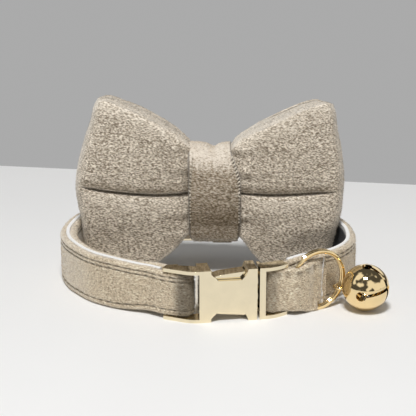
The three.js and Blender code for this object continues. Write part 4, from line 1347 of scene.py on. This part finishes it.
def soften_wing(points, s, spec, seed):
    """Gathers by the knot, one soft fold across the lower lobe and slack in the cloth."""
    x, y, z = points[..., 0], points[..., 1], points[..., 2]
    share = s[:, None]
    front = np.clip(-y / 6.0, 0, 1)
    gather = np.exp(-((share - 0.08) / 0.16) ** 2)
    pleats = 0.38 * np.sin(z * 0.78 + seed) + 0.22 * np.sin(z * 1.55 + 2 * seed)
    y = y + np.sign(y) * gather * pleats * np.clip(np.abs(y) / 3, 0, 1)
    at_s, at_v, tall = spec["swell"]
    along = (share - at_s) / 0.30
    ridge = (z - (8 + 26 * at_v * 0.6 + 7.0 * (share - at_s))) / 4.5
    y = y - front * tall * np.exp(-along ** 2 - ridge ** 2)
    y = y + np.sign(y) * 0.28 * ripple(x, 0, z, 21, seed) * np.clip(np.abs(y) / 3, 0, 1)
    edge = np.clip((share - 0.2) / 0.8, 0, 1)
    z = z + 0.22 * edge * ripple(x, y, z * 0.4, 16, seed + 1) * smoothstep(z, 4, 12)
    x = x + 0.25 * edge * ripple(x * 0.3, y, z, 14, seed + 2)
    return np.stack([x, y + KNOT["y"], np.maximum(z, 0.08)], axis=-1)


class COLLAR_OT_bow_wings(bpy.types.Operator):
    """Build the two padded wings of the bow, each with its deep crease"""
    bl_idname = "collar.bow_wings"
    bl_label = "Bow wings"

    def execute(self, context):
        for seed, (side, spec) in enumerate(WINGS.items(), start=1):
            s, sections, painted_seam_shades, light_and_shade_rows = wing_sections(spec)
            soft = soften_wing(sections, s, spec, seed)
            made = loft(f"bow_wing_{side}_velvet", in_row_frame(soft))
            # Vertex attributes: painted shade along the seams, and painted light and shade by
            # height.
            mark(made, "seam", painted_seam_shades)
            mark(made, "light_and_shade", light_and_shade_rows)
            mark_pile(made, painted_seam_shades[:-1] < SEWN)
            place(made, velvet_material(), "velvet", f"bow_wing_{side}")
        return {"FINISHED"}


# The knot's width by height, as a share of its widest; how far each of its edges draws in at the
# top; and how far its front stands out by height.
KNOT_WIDTH = ((12, 0.88), (16, 0.95), (22, 0.965), (31, 0.965), (40, 0.955), (45, 0.93),
              (48, 0.92))
KNOT_PINCH = {"right": 2.9, "left": 0.8}
STITCHED = 0.93               # where the edge stitches run, as a share of the half width
KNOT_FRONT = ((20, -0.91), (24, -1.02), (27, -1.07), (30.4, -1.10), (34, -1.10), (37.6, -1.06),
              (41.2, -0.97), (44.4, -0.81))


def knot_pinch(side, z):
    """How far the knot's edge on that side draws in at a height."""
    return KNOT_PINCH["right" if side > 0 else "left"] * smoothstep(z, 34, 47.5) ** 1.3


def knot_mesh():
    """The velvet wrapped round the bow's middle, with folded edges and a notch at its top."""
    d = KNOT["half_depth"]
    control = np.array([
        (-0.20, 47.7), (-0.50, 46.8), (-0.76, 44.4), (-0.92, 41.2), (-1.01, 37.6), (-1.05, 34.0),
        (-1.05, 30.4), (-1.03, 27.0), (-0.98, 24.0), (-0.92, 21.6), (-0.87, 20.4), (-0.84, 19.4),
        (-0.78, 17.4), (-0.64, 14.6), (-0.40, 12.9), (0.0, 12.4), (0.55, 12.9), (0.88, 15.0),
        (0.97, 19.0), (1.0, 25.0), (1.0, 32.0), (0.98, 39.0), (0.9, 44.0), (0.7, 46.8),
        (0.35, 47.7), (0.0, 47.9)]) * (d, 1)
    base = chaikin(control, 2)
    middle = np.array([0.0, 30.0])
    profile = [(-0.90, 4.0), (-0.975, 2.6), (-1.0, 1.5), (-0.985, 0.75), (-0.94, 0.22),
               (-0.88, 0.0), (-0.8, 0.0), (-0.76, 0.12), (-0.7, 0.02)]
    profile += [(t, 0.0) for t in np.linspace(-0.6, 0.6, 13)]
    profile += [(-t, inset) for t, inset in profile[8::-1]]
    rings, painted_seam_shades, light_and_shade_rows = [], [], []
    for share, inset in profile:
        scale = np.array([1 - inset / d, 1 - inset / 17.8])
        ring = middle + (base - middle) * scale
        y, z = ring[:, 0], ring[:, 1]
        x = KNOT["x"] + share * KNOT["half_width"] * table(KNOT_WIDTH, z)
        x = x - abs(share) * knot_pinch(share, z)
        top = smoothstep(z, 43.5, 47.2)
        notch = np.exp(-((x - 1.9) / 1.7) ** 2) * 1.25
        dome = 0.33 * np.cos((x - 2.0) / 9.0 * math.pi)
        z = z - top * (dome + notch)
        y = y + np.sign(y) * 0.16 * ripple(x, 0, z, 12, 21) * (np.abs(y) > 5)
        y = np.where(y < 0, y + 0.35 * np.exp(-((x - 1.9) / 1.4) ** 2) * smoothstep(z, 38, 46), y)
        rings.append(np.stack([x, y + KNOT["y"], z], axis=1))
        # Painted shade on the knot's folded edges.
        painted_seam_shades.append(np.full(len(z), 0.9 if abs(share) > 0.89 else 0.0))
        # Painted light and shade: lighter towards the knot's top, darker from 33 mm down to about
        # 20 mm, and back to plain below that.
        light_and_shade_rows.append(0.62 * smoothstep(z, 38.0, 45.0) - 0.25 * smoothstep(-z, -33, -21)
                    + 0.25 * smoothstep(-z, -20.6, -19.6))
    made = loft("bow_knot_velvet", in_row_frame(rings))
    mark(made, "seam", painted_seam_shades)
    mark_pile(made, np.array(painted_seam_shades)[:-1] < SEWN)
    mark(made, "light_and_shade", light_and_shade_rows)
    return made


class COLLAR_OT_bow_knot(bpy.types.Operator):
    """Wrap the knot round the bow and sew its folded edges"""
    bl_idname = "collar.bow_knot"
    bl_label = "Bow knot"

    def execute(self, context):
        made = knot_mesh()
        place(made, velvet_material("knot"), "velvet", "bow_knot")
        lines = []
        d = KNOT["half_depth"]
        for side in (-1, 1):
            z = np.linspace(44.5, 21.5, 40)
            x = KNOT["x"] + side * STITCHED * (KNOT["half_width"] * table(KNOT_WIDTH, z)
                                               - knot_pinch(side, z))
            lines.append(np.stack([x, KNOT["y"] + table(KNOT_FRONT, z) * d, z], axis=1))
        thread = thread_material("Edge thread", EDGE_THREAD_COLOUR)
        edge = stitches("knot_edge_stitches", lines, thread, pitch=0.00125, size=0.0015,
                        width=0.00062, slant=0.9)
        place(edge, None, "velvet")
        return {"FINISHED"}


class COLLAR_OT_bow_elastic(bpy.types.Operator):
    """Build the ribbed elastic loop that holds the bow on the strap"""
    bl_idname = "collar.bow_elastic"
    bl_label = "Elastic loop"

    def execute(self, context):
        at = distance_behind(ELASTIC["x"])
        _, y, bottom, height = (float(v) for v in station(at))
        low, high = bottom - GAP - 0.3, bottom + height + GAP + 0.3
        near = KNOT["y"] + KNOT["half_depth"] + GAP
        far = y + HALF + GAP + 0.3
        t = ELASTIC["thick"]
        middle = np.array([(near + t + far) / 2, (low + high) / 2])
        half = np.array([(far - near - t) / 2, (high - low) / 2])
        corner = 1.0
        loop = []
        for cx, cz, a0 in ((1, 1, 0), (-1, 1, 90), (-1, -1, 180), (1, -1, 270)):
            for a in np.radians(np.linspace(a0, a0 + 90, 7)):
                loop.append((middle + (half - corner) * (cx, cz),
                             np.array([math.cos(a), math.sin(a)])))
        ribs = 13
        across = np.linspace(-0.5, 0.5, ribs * 6 + 1)
        outer = t - 0.10 + 0.10 * np.abs(np.sin((across + 0.5) * math.pi * ribs))
        outer[[0, -1]] = t * 0.6
        rings = []
        for base, way in loop:
            ring = [(ELASTIC["x"] + w * ELASTIC["width"], *(base + way * (corner + o)))
                    for w, o in zip(across, outer)]
            ring += [(ELASTIC["x"] + w * ELASTIC["width"], *(base + way * (corner + 0.12)))
                     for w in across[::-6]]
            rings.append(ring)
        made = loft("bow_elastic_band", in_row_frame(rings), closed=True)
        ribbed = woven_material("Ribbed elastic", ELASTIC_COLOUR, threads=1800.0, shade=0.6)
        place(made, ribbed, "elastic", "bow_elastic")
        return {"FINISHED"}


class COLLAR_OT_pile(bpy.types.Operator):
    """Grow the velvet's pile on the strap, the wings and the knot"""
    bl_idname = "collar.pile"
    bl_label = "Velvet pile"

    def execute(self, context):
        for seed, name in enumerate(("strap", "bow_wing_left", "bow_wing_right", "bow_knot")):
            surface = bpy.data.objects.get(f"{name}_velvet")
            if surface is None:
                raise RuntimeError(f"{name}_velvet has to be built before its pile")
            place(grow_pile(f"{name}_pile", surface, seed), None, "velvet")
        return {"FINISHED"}


# ---- stage ---------------------------------------------------------------------------------

CAMERA_AT = (0.0, -451.05, 164.2)
CAMERA_PITCH = math.radians(17.12)
CAMERA_LENS = 115.44
TABLE_FAR = 132.6
TABLE_TURN = -9.6
TABLE_REACH, TABLE_NEAR, TABLE_THICK = 1600, -2600, 30.0
WALL_GREY = 0.405


def area_light(name, at, target, size, power, tint):
    light = bpy.data.lights.new(name, "AREA")
    light.shape = "RECTANGLE"
    light.size, light.size_y = size
    light.energy = power
    light.color = tint
    lamp = bpy.data.objects.new(name, light)
    bpy.context.scene.collection.objects.link(lamp)
    lamp.location = at
    lamp.rotation_euler = (Vector(target) - Vector(at)).to_track_quat("-Z", "Y").to_euler()
    return lamp


class COLLAR_OT_stage(bpy.types.Operator):
    """Set the pale table, the grey surroundings, the soft light and the camera"""
    bl_idname = "collar.stage"
    bl_label = "Stage"

    def execute(self, context):
        scene = context.scene
        camera = bpy.data.objects.new("Camera", bpy.data.cameras.new("Camera"))
        scene.collection.objects.link(camera)
        camera.location = in_row_frame(CAMERA_AT)
        camera.rotation_euler = (math.pi / 2 - CAMERA_PITCH, 0, 0)
        camera.data.lens = CAMERA_LENS
        camera.data.sensor_width = 36
        camera.data.clip_start, camera.data.clip_end = 0.01, 20
        scene.camera = camera
        scene.view_settings.view_transform = "Standard"

        corners = np.array([(-TABLE_REACH, TABLE_FAR), (TABLE_REACH, TABLE_FAR),
                            (TABLE_REACH, TABLE_NEAR), (-TABLE_REACH, TABLE_NEAR)], float)
        a = math.radians(TABLE_TURN)
        spin = np.array([[math.cos(a), -math.sin(a)], [math.sin(a), math.cos(a)]])
        flat = (corners - (0, TABLE_FAR)) @ spin.T + (0, TABLE_FAR)
        rings = [np.column_stack([flat, np.full(4, z)]) for z in (-0.01, -TABLE_THICK)]
        table = loft("table", in_row_frame(rings), smooth=False)
        paint = bpy.data.materials.new("Pale table")
        paint.use_nodes = True
        tree = paint.node_tree
        shader = tree.nodes["Principled BSDF"]
        shader.inputs["Roughness"].default_value = 0.6
        shader.inputs["Specular IOR Level"].default_value = 0.25
        where = add(tree, "ShaderNodeTexCoord")
        grain = add(tree, "ShaderNodeTexNoise", {"Vector": where.outputs["Object"], "Scale": 14.0,
                                                 "Detail": 2.0})
        tone = remap(tree, grain.outputs["Fac"], 0.0, 1.0, 0.86, 0.90)
        link(tree, tone, shader.inputs["Base Color"])
        table.data.materials.append(paint)

        world = bpy.data.worlds.new("Studio")
        scene.world = world
        world.use_nodes = True
        sky = world.node_tree
        wall = sky.nodes["Background"]
        wall.inputs["Color"].default_value = opaque([WALL_GREY] * 3)
        room = add(sky, "ShaderNodeBackground", {"Color": (0.225, 0.225, 0.222, 1)})
        way = add(sky, "ShaderNodeTexCoord")
        panels = add(sky, "ShaderNodeTexNoise", {"Vector": way.outputs["Generated"], "Scale": 1.7,
                                                 "Detail": 1.0})
        lit = remap(sky, panels.outputs["Fac"], 0.46, 0.56, 0.10, 1.15)
        mirrored = add(sky, "ShaderNodeBackground", {"Strength": lit})
        seen = add(sky, "ShaderNodeLightPath")
        unseen = add(sky, "ShaderNodeMixShader", {0: seen.outputs["Is Glossy Ray"],
                                                  1: room.outputs[0], 2: mirrored.outputs[0]})
        both = add(sky, "ShaderNodeMixShader", {0: seen.outputs["Is Camera Ray"],
                                                1: unseen.outputs[0], 2: wall.outputs[0]})
        link(sky, both.outputs[0], sky.nodes["World Output"].inputs["Surface"])

        area_light("Softbox above", at=(-0.04, -0.44, 0.88), target=(0, 0, 0.02),
                   size=(0.20, 0.18), power=7.8, tint=(1, 0.995, 0.985))
        return {"FINISHED"}


# ---- panel and registration ----------------------------------------------------------------

OPERATORS = (
    COLLAR_OT_stage, COLLAR_OT_strap, COLLAR_OT_lining, COLLAR_OT_stitching, COLLAR_OT_buckle,
    COLLAR_OT_split_ring, COLLAR_OT_bell, COLLAR_OT_bow_wings, COLLAR_OT_bow_knot,
    COLLAR_OT_bow_elastic, COLLAR_OT_pile,
)


class COLLAR_PT_panel(bpy.types.Panel):
    """The collar's pieces and settings"""
    bl_label = "Velvet Bow Tie Collar"
    bl_idname = "COLLAR_PT_panel"
    bl_space_type = "VIEW_3D"
    bl_region_type = "UI"
    bl_category = "Collar"

    def draw(self, context):
        for operator in OPERATORS:
            self.layout.operator(operator.bl_idname)
        for group in (settings().velvet, settings().trim):
            box = self.layout.box()
            for name in group.bl_rna.properties.keys():
                if name not in ("rna_type", "name"):
                    box.prop(group, name)


CLASSES = (VelvetSettings, TrimSettings, CollarSettings, *OPERATORS, COLLAR_PT_panel)


def register():
    for item in CLASSES:
        bpy.utils.register_class(item)
    bpy.types.Scene.bow_tie_collar = PointerProperty(type=CollarSettings)


def unregister():
    del bpy.types.Scene.bow_tie_collar
    for item in reversed(CLASSES):
        bpy.utils.unregister_class(item)


def main():
    register()
    for operator in OPERATORS:
        family, name = operator.bl_idname.split(".")
        getattr(getattr(bpy.ops, family), name)()


if __name__ == "__main__":
    main()
